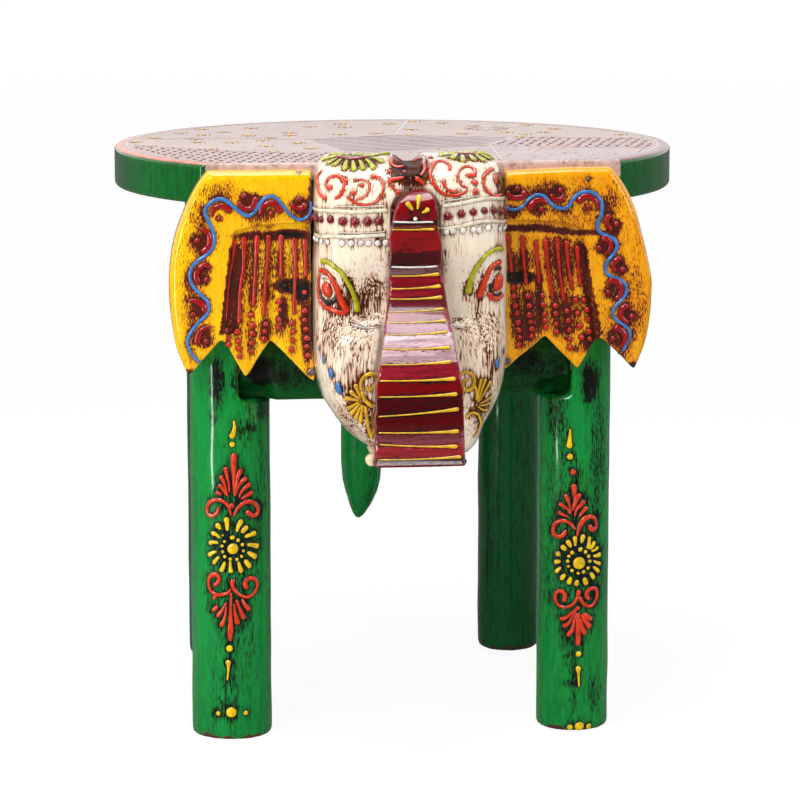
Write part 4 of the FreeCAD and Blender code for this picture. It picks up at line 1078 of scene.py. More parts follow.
def dressEar(node, drawing):
    tag = "ear" + node[4:].capitalize()
    widths = earWidths
    drawLines(tag + "Wave", node, [(drawing["wave"], widths["wave"])], "blue", step=0.5, sides=10)
    drawLines(tag + "Scrolls", node, [(path, widths["scroll"]) for path in drawing["scrolls"]],
              "crimson")
    drawDrops(tag + "ScrollDrops", node, drawing["scrollDrops"], "crimson")
    drawLines(tag + "Drips", node, [(path, widths["drip"]) for path in drawing["drips"]],
              "dripRed", step=0.45)
    chance = random.Random(widths["dotSeed"])
    drawDrops(tag + "Dots", node, [
        (x, y, widths["dot"] * chance.uniform(*widths["dotSpread"])) for x, y in drawing["dots"]],
        "dripRed")
    drawDrops(tag + "Nail", node, [drawing["nail"]], "screwSteel", 6, 0.4)
    drawDrops(tag + "Screw", node, [drawing["screw"]], "screwSteel", 8, 0.35)


dressEar("ear_left", earLeftDrawing)
dressEar("ear_right", earRightDrawing)
print("ears drawn")


# Head: cords and beads across the brow, scrolls above them, eyes, dots and ochre flowers

headDrawing = {
    "cords": [
        ([(319.6, 210.2), (335.1, 210.9), (356.1, 212.3), (377.2, 210.9), (394, 209.5)], -1),
        ([(438.9, 206), (461.4, 203.2), (482.4, 199), (503, 198.3)], 1),
        ([(320.3, 236.2), (332.3, 236.2), (346.3, 236.9), (363.1, 236.2), (387, 234.8)], -1),
        ([(440.3, 229.2), (454.3, 227.8), (468.4, 224.3), (482.4, 221.5), (503, 221.5)], 1)],
    "threads": [
        [(333.7, 206), (356, 206.8), (375, 206.2), (392.6, 205.3)],
        [(338, 232.6), (360, 233), (386, 231.6)], [(441, 201.4), (461, 198.8), (480, 195.4)]],
    "redBeads": [
        (321.7, 219.4, 1.8), (330.9, 219.4, 2.1), (342.8, 221.5, 2.2), (355.1, 221.9, 2.2),
        (367.6, 221.9, 2.2), (379.3, 220.8, 2.2), (447.8, 216.3, 2.1), (461.4, 214, 2.0),
        (473.3, 212.3, 1.8), (484.5, 210.7, 1.7), (493.6, 210.2, 1.8), (500.6, 211.6, 1.8)],
    "paleBeads": [
        (342.1, 243.2), (351.2, 243.2), (361, 243.2), (368.8, 243.2), (377.9, 243.2),
        (385.6, 242.5), (445.9, 232), (452.9, 231.3), (462.8, 230.6), (473.3, 229.9),
        (478.9, 229.9), (488, 227.8), (499.2, 229.2)],
    "scrolls": [
        ([(322.4, 171), (317.9, 177), (318.2, 185.7), (320.3, 193.4), (326.5, 199.6)],
         (0.9, 1.6, 1.0)),
        ([(333, 187.1), (328.1, 187.7), (326.2, 182.2), (330.2, 177.3), (337.9, 176.2),
         (343.2, 181), (343.4, 189), (340, 195.5), (334, 199.6)], (1.3, 0.9, 1.0, 0.8)),
        ([(341, 176.8), (344.6, 179.2), (346.6, 183)], (0.7, 1.0)),
        ([(358, 184.6), (361, 185.4), (364.6, 184.4)], (1.2, 1.4)),
        ([(369.6, 177.2), (376.6, 176.8), (382, 181.6), (383.2, 190), (379.6, 198.6),
         (371.6, 203.9), (361.7, 204.8), (353.3, 201.8), (346.3, 195.6)],
         (1.5, 0.7, 0.6, 0.6, 0.9)),
        ([(353.4, 180.8), (360.3, 179.6), (367.4, 181.6), (370.2, 187.2), (367.3, 194),
         (361.7, 198.4), (354.7, 200)], (0.5, 0.55)),
        ([(404.5, 166), (398.2, 167), (392.2, 164.6), (391.4, 159.8), (396.8, 157),
         (403.8, 157.4)], (0.9, 0.8, 0.7)),
        ([(410, 158.3), (419.3, 158.6), (423.9, 163), (423.9, 171.3), (420, 176.2)],
         (0.7, 0.9, 0.7)),
        ([(389.1, 184.9), (390.2, 180.6), (397, 178.8), (404.8, 177.4)], (1.4, 0.9)),
        ([(389.8, 183), (392.8, 188), (397, 192.2)], (0.8, 0.7)),
        ([(414.5, 177.4), (420, 180.6), (424.9, 185.7)], (1.6, 1.1, 0.7)),
        ([(449.6, 171.4), (448.3, 164.2), (440.3, 161.2), (433.3, 165.4), (430.4, 174.5),
         (434.3, 184.8), (441.7, 192.7), (451.5, 195.5), (461.4, 194.1), (468.4, 189.9)],
         (1.0, 1.2, 0.9, 0.6)),
        ([(443.8, 179.2), (445, 186.4), (450.4, 191.2), (459.8, 191.4)], (1.5, 0.8, 0.5, 0.4)),
        ([(466, 173.8), (471.9, 176.2), (475, 171.6), (471, 167), (463.6, 167.4), (458.8, 172.4),
         (458.2, 179.4), (461.8, 185.6), (468.4, 188.4)], (1.4, 1.0, 0.6, 0.5)),
        ([(493.8, 168.4), (486.4, 173.2), (483.2, 180.6), (486.2, 189.4), (492.6, 195.2),
         (501.6, 194.4)], (1.1, 0.8, 1.0, 0.8)),
        ([(496, 173.5), (494.8, 179), (496, 185.5)], (0.9, 1.5, 0.9))],
    "scrollDrops": [
        (353.3, 193.4, 1.5), (346, 184, 0.9), (404.5, 171.7, 1.0), (389.4, 171.6, 1.3),
        (398.2, 192.4, 1.8), (430.6, 157.9, 1.5), (474.7, 182.6, 1.7), (475.8, 191.6, 1.7)],
    "redEye": [
        ([(319.6, 271), (325.6, 271.4), (332, 278.4), (336.9, 288.4), (341.4, 301),
         (348.4, 313.2)], (1.2, 1.6, 2.0)),
        ([(347, 313.6), (339.4, 312.4), (330.9, 309), (322.6, 305.3), (319.2, 295), (319, 283),
         (320.4, 273)], (1.4, 1.2, 0.9)),
        ([(478.2, 298.8), (482.2, 288), (486.6, 276.4), (492.4, 266), (501.4, 261.2)],
         (1.9, 1.5, 1.4, 1.3)),
        ([(488.4, 291.4), (490.9, 296.8), (496.6, 298.8), (503, 294)], (2.0, 1.5, 1.3))],
    "redPupils": [(327, 288, 3.3), (327.8, 291, 3.4), (497.6, 280.2, 3.7), (497.1, 284.4, 3.7)],
    "blackRings": [
        ([(320.8, 288), (321.8, 296.4), (327, 302.2), (333.6, 301), (337, 295), (336.6, 288)],
         (0.5, 1.1, 1.5, 1.3, 0.8)),
        ([(490.4, 282.4), (489.9, 288.4), (492.4, 293.4), (497.2, 295.4), (501.4, 291.6)],
         (0.7, 0.8, 1.0)), ([(493.6, 270.4), (497.4, 267.8), (501.4, 268.8)], (1.0, 1.3))],
    "paleRings": [
        ([(320.6, 277.6), (325.4, 276.4), (331.8, 280.6), (335.6, 287)], (0.6, 0.9, 0.8)),
        ([(492.4, 272.4), (490.6, 276.8), (489.6, 281)], (0.6, 0.8)),
        ([(489.4, 291.4), (492.2, 296.2), (497.6, 297.6)], (0.7, 0.8))],
    "limeBrows": [
        ([(321, 261.5), (328.1, 262.2), (339.3, 270.6), (347.7, 282.5), (353.3, 293.7),
         (356.1, 302.4), (357.6, 313.2)], (1.5, 1.3, 1.2, 1.3, 1.9)),
        ([(503, 249.4), (497.4, 248.6), (491, 251.4), (482.4, 259.3), (474.4, 271), (470, 283),
         (467.6, 294.6)], (1.2, 1.2, 1.2, 1.4, 2.2))],
    "blueDots": [
        ([(317.4, 336.4), (317.6, 340.4)], (0.7,)), ([(319, 345.6), (320, 350.8)], (1.1,)),
        ([(322.9, 353.8), (324.7, 364.2)], (1.1, 1.3)),
        ([(330.2, 367.2), (333, 378.8)], (1.4, 1.7)), ([(337.4, 381.2), (341, 394.6)], (1.6, 2.1)),
        ([(504.2, 347.2), (503.5, 354)], (1.1,)), ([(497.8, 357.6), (496, 369)], (1.3, 1.6))],
    # pale lines along the carved ledges under the eyes: painted highlights, drawn as raised pearl
    # paint
    "paintedLedgeHighlights": [
        ([(350, 323), (358, 326.4), (368, 328.2), (381, 327)], (0.3, 0.7, 0.5)),
        ([(452, 325.4), (460, 327.6), (468, 329)], (0.3, 0.6, 0.3))],
    "ochrePetals": [
        ([(360.3, 400.7), (353, 399.4), (346.3, 397.9)], (0.4, 0.9, 1.9)),
        ([(360.3, 399.7), (355, 395.4), (350.8, 391.2)], (0.4, 0.8, 1.7)),
        ([(361, 398.7), (358, 391.4), (355.6, 385)], (0.4, 0.8, 1.6)),
        ([(360.3, 401.7), (354, 405), (348.4, 407.7)], (0.4, 0.8, 1.6)),
        ([(361, 403), (356, 408), (351.9, 412.4)], (0.4, 0.8, 1.6)),
        ([(362, 404), (358.4, 411.6), (356.1, 417.8)], (0.4, 0.8, 1.5)),
        ([(363, 404), (361.6, 412.6), (360.6, 421.7)], (0.4, 0.8, 1.4)),
        ([(361.9, 391), (360.8, 384), (363.8, 377.4), (370.2, 373.8), (374.6, 378.2),
         (373.4, 385.2), (369.4, 389.8), (366.6, 387.4)], (0.8, 1.1, 1.2, 1.0)),
        ([(361.6, 389.8), (364.6, 399.3), (370.2, 404.9), (375.4, 405.3)], (0.9, 1.1, 1.0)),
        ([(365.3, 405.3), (366.9, 417.5), (368.8, 428.7), (371.6, 437.1)], (0.9, 0.9, 1.1)),
        ([(374.6, 412), (373.4, 424), (371.4, 434)], (0.6, 0.8)),
        ([(468.6, 380), (465.6, 379.4), (463, 384), (465, 390), (470, 389.6), (474, 383.4),
         (472.6, 375.6), (466.4, 371.8), (461, 374.4)], (0.8, 1.3, 1.3, 1.0)),
        ([(474, 384.6), (476.6, 391.4), (476.1, 399.9)], (1.0, 0.9)),
        ([(477.5, 403.5), (478.6, 391), (481, 379.6)], (0.4, 0.8, 1.3)),
        ([(477.9, 402.5), (481.6, 390), (485.6, 379)], (0.4, 0.8, 1.3)),
        ([(478.5, 402.5), (485, 391), (490.2, 381)], (0.4, 0.8, 1.3)),
        ([(478.5, 404), (485.4, 400.4), (490.6, 396.4)], (0.4, 0.7, 1.2)),
        ([(478.5, 405), (484.6, 405), (489.6, 402.8)], (0.4, 0.7, 1.1)),
        ([(477.5, 406), (482.6, 409.6), (487, 409.7)], (0.4, 0.7, 1.1)),
        ([(466.4, 419.4), (469, 413.9), (475, 412.8), (479.6, 417.9), (479.8, 425.1),
         (477, 431.5), (473.4, 436.4)], (1.2, 1.0, 1.1, 0.9))],
    "domePetals": [
        [(336, 156.5), (330, 158), (324.2, 160.2)], [(338, 158), (332.4, 161), (327.6, 165)],
        [(341.4, 159), (338, 162), (335.3, 165.6)], [(347, 159.7), (345.6, 164), (344.8, 169.6)],
        [(352.8, 160.4), (353.4, 165), (354, 170.4)], [(359.2, 159.9), (361.4, 164), (363, 169.4)],
        [(365.4, 158.9), (370, 163), (373.4, 168.6)], [(370.4, 157.6), (377, 159), (382, 162.4)],
        [(372.6, 155.8), (381, 154.4), (388.8, 154)], [(450, 154.2), (446, 155), (441.4, 156)],
        [(456.4, 154.4), (455, 156), (453.4, 158)], [(462, 155), (462.6, 157.6), (463, 160.6)],
        [(469.6, 155.2), (471.8, 157.6), (474, 160)], [(476, 155), (480, 158), (483.4, 161.2)],
        [(480.4, 154.6), (485.6, 156.8), (489.8, 159.8)],
        [(484, 154), (490, 155.6), (495, 158.4)]],
    "domeArcs": [
        [(335.8, 156.4), (345, 158.4), (353, 158.8), (362, 158), (370.6, 155.6)],
        [(455, 153.6), (466, 154), (478, 153.8)]],
    "domes": [(353.0, 160.0), (467.0, 157.0)],
    # the rosettes' far halves, on the top: mm from the middle, and how far that lies back
    "petalReach": (5.0, 14.0), "petalCount": 8, "petalBack": 8, "petalSeed": 11,
    "petalTurn": 0.06, "petalAbove": 0.05,
    # half widths in mm; beads also go round the sides, as far back as y in mm
    "cordWidth": 1.1, "threadWidth": 0.4, "arcWidth": 1.0, "redBeadSize": 1.1,
    "redBeadAside": 2.0, "paleBeadSize": 1.75, "paleBeadAside": 1.5, "paleStep": 5.0,
    "cordBack": -90.0, "beadBack": -92.0, "petalWidths": (0.7, 1.2, 2.0),
    "topPetalWidths": (0.5, 1.0, 1.9),
    # the right flower is drawn finer: it starts at this x
    "rightFrom": 440, "rightFiner": 0.78,
}


def topPetals(x, y):
    # the rosette's far half, on the flat top where the front petals leave off
    front = photoSpot(skins["head"], x, y)
    near, far = headDrawing["petalReach"]
    chance = random.Random(headDrawing["petalSeed"])
    turn, back = headDrawing["petalTurn"], headDrawing["petalBack"]
    petals = []
    for i in range(headDrawing["petalCount"]):
        angle = math.pi * (i + 0.5) / headDrawing["petalCount"] + chance.uniform(-turn, turn)
        places = []
        for reach in (near, (near + far) / 2, far):
            start = Vector((front.x + math.cos(angle) * reach * mm,
                            front.y + (back + math.sin(angle) * reach) * mm,
                            front.z + headDrawing["petalAbove"]))
            places.append(skins["head"].ray_cast(start, Vector((0, 0, -1)))[0])
        if all(place is not None for place in places):
            petals.append((places, headDrawing["topPetalWidths"]))
    return petals


def dressHead():
    head, draw = "head", headDrawing
    cords = []
    for pixels, side in draw["cords"]:
        places = traced(head, pixels)
        outer = places[0] if side < 0 else places[-1]
        wrap = aroundSide(head, outer, side, draw["cordBack"])
        cords.append((list(reversed(wrap)) + places if side < 0 else places + wrap,
                      (draw["cordWidth"],)))
    paintLines("headCords", head, cords, "cream", 0.5, 10, 1.0)
    drawLines("headThreads", head, [(path, (draw["threadWidth"],)) for path in draw["threads"]],
              "cream", step=0.5, sides=6)
    beads = tracedDrops(head, [(x, y, size * draw["redBeadSize"])
                               for x, y, size in draw["redBeads"]])
    for start, side in ((beads[0][0], -1), (beads[-1][0], 1)):
        beads += [(place, draw["redBeadAside"])
                  for place in aroundSide(head, start, side, draw["beadBack"])]
    paintDrops("headRedBeads", head, beads, "beadRed", 8, 0.95)
    pale = tracedDrops(head, [(x, y, draw["paleBeadSize"]) for x, y in draw["paleBeads"]])
    for start, side in ((pale[0][0], -1), (pale[-1][0], 1)):
        pale += [(place, draw["paleBeadAside"]) for place in aroundSide(
            head, start, side, draw["beadBack"], draw["paleStep"])]
    paintDrops("headPaleBeads", head, pale, "pearl", 6, 0.8)
    drawLines("headScrolls", head, draw["scrolls"], "orangeRed")
    drawDrops("headScrollDrops", head, draw["scrollDrops"], "orangeRed")
    drawLines("headEyes", head, draw["redEye"], "orangeRed")
    drawDrops("headPupils", head, draw["redPupils"], "orangeRed", 10, 0.7)
    drawLines("headEyeRings", head, draw["blackRings"], "black", flatness=0.45)
    drawLines("headEyeWhites", head, draw["paleRings"], "pearl")
    drawLines("headBrows", head, draw["limeBrows"], "lime", sides=10)
    drawLines("headBlueDots", head, draw["blueDots"], "blue", 0, 1.25, sides=12, flatness=0.5)
    # painted highlights along the carved ledges
    drawLines("headLedges", head, draw["paintedLedgeHighlights"], "pearl", flatness=0.5)
    right = [stroke for stroke in draw["ochrePetals"] if stroke[0][0][0] > draw["rightFrom"]]
    left = [stroke for stroke in draw["ochrePetals"] if stroke not in right]
    paintLines("headFlowers", head, tracedLines(head, left, 0.6)
               + tracedLines(head, right, 0.6, draw["rightFiner"]), "ochre", 0.4)
    petals = tracedLines(head, [(path, draw["petalWidths"]) for path in draw["domePetals"]], 0.5)
    for x, y in draw["domes"]:
        petals += topPetals(x, y)
    paintLines("headRosettes", head, petals, "lime", 0.4)
    drawLines("headRosetteArcs", head, [(path, (draw["arcWidth"],)) for path in draw["domeArcs"]],
              "crimson", step=0.5)


dressHead()
print("head drawn")


# Trunk: ochre lines across with a blob at the right, and a small flower on its cap

trunkDrawing = {
    "lines": [
        ((391.2, 229.4), (438.9, 228.4)), ((390.6, 276.2), (440.4, 274)),
        ((389.8, 289), (442, 286)), ((389, 299.2), (443.4, 297.2)),
        ((387.6, 312.4), (445.2, 308.8)), ((386.2, 322.8), (447.6, 320.8)),
        ((384.4, 335), (448.6, 332)), ((382.6, 349.2), (451.2, 347.4)),
        ((380.6, 365), (452.6, 361.8)), ((378.8, 381), (457, 378.7)),
        ((377.8, 397.2), (458.4, 394)), ((377.4, 416.8), (460, 409)),
        ((377.6, 432.9), (460, 431.3)), ((378.4, 444.6), (458.7, 446.7)),
        ((377.8, 460), (462.4, 457))],
    "silver": [((392.6, 221.7), (438.2, 221.3)), ((390.4, 266.8), (438.6, 266.2))],
    "sag": 0.8,            # px that a line's middle hangs
    "widths": (0.4, 0.35, 0.4, 0.55, 1.25), "silverWidth": 0.5,
    "steps": 5, "lift": 0.6, "liftFrom": 0.8,   # points of a line, and its rise at the right end
    "petals": [
        ([(413.7, 211), (409.6, 206), (405.6, 201.8)], (0.5, 1.2, 1.9)),
        ([(417.6, 210.2), (418.4, 202), (419.4, 194.4)], (0.5, 1.0, 1.6)),
        ([(421, 212.6), (425.4, 211.4), (429.4, 207.6)], (0.4, 0.9, 2.0))],
    "capDot": (415.3, 218.9, 1.2),
    # the colour of each field, from the cap down to the foot, and the lines between them. Besides
    # the trunk's own crimson bands, the pale and mauve fields hold a painted highlight, the glare
    # where the trunk slopes forward, and the darkest fields hold painted shade where it faces
    # forward and down
    "fieldEnds": (
        221.5, 226, 229, 252, 266, 275, 287, 297.5, 310, 321.5, 333.5, 348.2, 363.4, 380, 395.4,
        413, 432, 445.6, 458.6),
    "fieldColoursAndPaintedSheen": (
        (146, 4, 10), (60, 8, 14), (130, 60, 44), (142, 4, 10), (70, 3, 6), (126, 88, 90),
        (150, 20, 34), (148, 24, 40), (104, 14, 30), (134, 20, 38), (152, 86, 106),
        (224, 190, 200), (226, 186, 196), (156, 28, 44), (126, 4, 8), (84, 2, 3), (90, 3, 5),
        (130, 62, 72), (166, 46, 54), (120, 40, 48)),
    "sideColour": (150, 12, 20),
    "sideWidth": 1.6,      # px of plain crimson inside the left and right edges
    "slant": -0.045,       # px down for each px to the right of the middle, as the lines run
    "middle": 418,
    "turnedAway": 0.12,    # faces that look less than this at the camera are plain too
    "plainFrom": 3,        # below this field
}


def trunkLine(first, last):
    steps = trunkDrawing["steps"]
    made = []
    for i in range(steps + 1):
        share = i / steps
        sag = trunkDrawing["sag"] * math.sin(math.pi * share)
        lift = trunkDrawing["lift"] * max(0.0, share - trunkDrawing["liftFrom"])
        made.append((first[0] + (last[0] - first[0]) * share,
                     first[1] + (last[1] - first[1]) * share + sag - lift))
    return made


def dressTrunk():
    trunk, draw = "trunk", trunkDrawing
    drawLines("trunkLines", trunk, [(trunkLine(*ends), draw["widths"]) for ends in draw["lines"]],
              "ochre", step=0.5)
    drawLines("trunkSilverLines", trunk, [(trunkLine(*ends), (draw["silverWidth"],))
                                          for ends in draw["silver"]], "pearl", step=0.5)
    drawLines("trunkCapFlower", trunk, draw["petals"], "yellow")
    drawDrops("trunkCapDot", trunk, [draw["capDot"]], "cream")


def colourTrunk(piece):
    mesh = piece.data
    layer = mesh.attributes.new("bandColour", "FLOAT_COLOR", "POINT")
    draw = trunkDrawing
    # the fields, with their painted highlight and shade, go only on faces toward the camera; below
    # the first fields, edges and faces turned away stay plain crimson
    fieldsAndPaintedSheen = [srgb(*colour) for colour in draw["fieldColoursAndPaintedSheen"]]
    side, width = srgb(*draw["sideColour"]), draw["sideWidth"]
    edges = {}
    for vertex in mesh.vertices:
        x, y = photoPixel(vertex.co)
        low, high = edges.get(int(y), (x, x))
        edges[int(y)] = (min(low, x), max(high, x))
    for vertex, value in zip(mesh.vertices, layer.data):
        x, y = photoPixel(vertex.co)
        low, high = edges[int(y)]
        level = y - draw["slant"] * (x - draw["middle"])
        field = sum(1 for end in draw["fieldEnds"] if level > end)
        facing = (camera["place"] - vertex.co).normalized().dot(vertex.normal)
        plain = facing < draw["turnedAway"] or x < low + width or x > high - width * 0.5
        value.color = side if plain and field > draw["plainFrom"] else fieldsAndPaintedSheen[field]


dressTrunk()
colourTrunk(hosts["trunk"])
print("trunk drawn")


# Front legs: a yellow drop, a red palmette with scrolls, a rosette, and the same upside down

legLeftDrawing = {
    "yellow": [
        ([(233.7, 419.6), (234.4, 428.2), (231.9, 436.4)], (0.4, 0.9, 1.9)),
        ([(228.2, 659.3), (228.4, 668), (227.4, 680.3)], (1.9, 0.6, 0.4))],
    "yellowDots": [
        (232.2, 444.3, 1.5), (229.5, 648.4, 1.8), (218.3, 713.5, 1.3), (231.4, 712.2, 2.9),
        (245.7, 712.8, 1.3)],
    "redDots": [(231.6, 505.7, 1.4)],
    "palmettes": [
        ([(234.3, 496.5), (233.8, 480), (233.6, 468), (233.5, 455.5)], (0.5, 0.9, 1.5, 1.75)),
        ([(229.4, 493), (228.6, 483), (226.8, 475), (225.5, 468.5)], (0.4, 0.6, 1.0, 1.45)),
        ([(227.4, 497), (225.8, 489), (223.8, 482), (221.2, 477)], (0.6, 0.65, 1.0, 1.4)),
        ([(226.4, 496), (224.6, 491.6), (222.4, 488), (219.6, 485.6)], (0.4, 0.8, 1.2, 1.4)),
        ([(222.2, 495.2), (219.8, 493.6), (217.4, 492.8)], (0.5, 0.9, 1.3)),
        ([(234.8, 497), (236.6, 484), (238.2, 475.6), (240.6, 470.6)], (0.5, 0.7, 1.1, 1.5)),
        ([(236, 494), (238.4, 486.6), (241.6, 482), (245.6, 478.6)], (0.4, 0.7, 1.1, 1.45)),
        ([(239, 498.4), (241.4, 492), (245, 487.8), (249.2, 484.4)], (0.4, 0.75, 1.0, 1.5)),
        ([(240.4, 499.6), (244.6, 497), (248, 494.6), (251.2, 492.6)], (0.4, 0.8, 1.1, 1.5)),
        ([(231, 592), (230.8, 604), (230.6, 615), (230.6, 623), (230.4, 631), (230.4, 640.5)],
         (0.6, 0.7, 0.9, 1.3, 1.8, 0.9)),
        ([(230.6, 588), (228.6, 592.4), (224, 594.2), (217.6, 594.6), (212.4, 592.2),
         (209.2, 586.6), (208.8, 580.6), (211, 575.8), (214.4, 574), (218, 575.8), (218.8, 580),
         (216.6, 583.6), (214.6, 584.6)],
         (0.5, 0.8, 1.0, 1.0, 0.9, 0.9, 1.0, 1.2, 1.4, 1.1, 1.1, 1.2, 1.2)),
        ([(216.4, 595), (214.4, 598)], (1.0, 1.2)),
        ([(233.8, 578.6), (232.2, 582.6), (233.2, 587.6), (236.8, 592.4), (241.4, 595.8),
         (246.8, 597), (252.2, 594.8), (256, 589.8), (257, 583.6), (254.6, 579), (250, 578),
         (245.8, 580.8), (245, 585.6), (247, 587.6)],
         (1.6, 1.3, 1.0, 0.9, 0.9, 0.95, 0.9, 0.9, 1.0, 1.2, 1.2, 1.3, 1.4, 1.2)),
        ([(218.4, 605.4), (216.2, 607.6), (213.6, 610)], (0.9, 1.1, 1.3)),
        ([(227, 602), (223.4, 608), (218.2, 615.6)], (0.8, 0.7, 1.5)),
        ([(226.4, 606), (225.6, 613), (224, 620), (221.8, 624.6)], (0.5, 0.6, 0.9, 1.7)),
        ([(241.6, 598.6), (244, 603.4), (248.4, 608.8)], (0.6, 1.0, 1.6)),
        ([(236, 599.2), (239, 607), (243.6, 617.4)], (0.9, 0.8, 1.6)),
        ([(234, 603), (235, 612), (237.4, 622.4)], (0.5, 0.8, 1.75)),
        ([(231, 516), (229.4, 509), (226, 503.5), (220.4, 500.3), (213.6, 500.2), (208.6, 504.4),
         (207.3, 511), (210.2, 515.6), (214.6, 515), (217.6, 511.6), (218.6, 507.2)],
         (0.5, 0.7, 0.9, 1.0, 1.1, 1.2, 1.3, 1.2, 1.1, 1.0, 0.7)),
        ([(233.2, 517), (236.4, 510.4), (241.2, 504.8), (246.6, 501.6), (252.4, 502.2),
         (256.8, 506.6), (257.8, 512), (254.6, 515.6), (250.4, 514.4), (247.8, 512.2)],
         (0.5, 0.8, 1.1, 1.25, 1.25, 1.25, 1.25, 1.2, 1.3, 1.5))],
    "petals": [
        ([(227.2, 531.6), (227.2, 526), (226.3, 519)], (0.7, 1.0, 1.7)),
        ([(236.4, 532.6), (238.2, 526.4), (241.2, 521)], (0.7, 1.1, 1.6)),
        ([(240.8, 533.2), (243.6, 530.2), (246.6, 527)], (1.0, 1.3, 1.5)),
        ([(244.2, 536.8), (249.6, 535), (254.2, 533)], (1.0, 1.0, 1.65)),
        ([(246.6, 544.4), (251.4, 544.8), (256.6, 545.8)], (1.0, 1.1, 1.7)),
        ([(246.8, 551.8), (250.6, 554), (254.8, 556.4)], (0.8, 1.2, 1.7)),
        ([(244.2, 559.4), (246.8, 562.8), (249.6, 566.2)], (1.0, 1.3, 1.5)),
        ([(238.2, 561), (239.4, 566), (241, 571.2)], (0.7, 0.9, 1.6)),
        ([(230.2, 560), (230.3, 566), (230.8, 571.4)], (0.6, 0.7, 1.5)),
        ([(225, 560.8), (223.6, 565.8), (221.4, 570.4)], (0.6, 1.0, 1.5)),
        ([(219.8, 556.2), (216.4, 559.4), (214, 563)], (0.7, 0.9, 1.3)),
        ([(217.4, 551.4), (213, 552.4), (209.6, 555)], (0.6, 0.9, 1.4)),
        ([(219, 543.4), (214.4, 542), (210.4, 543)], (0.8, 0.8, 1.5)),
        ([(220.6, 538.6), (216.6, 534.6), (212.8, 533.2)], (0.7, 0.9, 1.5)),
        ([(221, 530.4), (219, 526.6), (217.4, 525.2)], (0.5, 1.3, 1.8)),
        ([(229, 537.6), (231.5, 537.5), (234, 537.2)], (1.1,))],
    "petalDots": [
        (232.8, 548.8, 3.0), (222.8, 535.2, 0.55), (224.4, 541.6, 0.8), (222.1, 546, 0.9),
        (222.6, 551.8, 0.9), (224.7, 556.6, 0.95), (230.2, 559.2, 0.9), (237, 559.4, 0.9),
        (241.6, 556.4, 0.85), (243.4, 550.8, 0.9), (242.3, 544.6, 1.0), (238.2, 540.2, 1.0)],
}
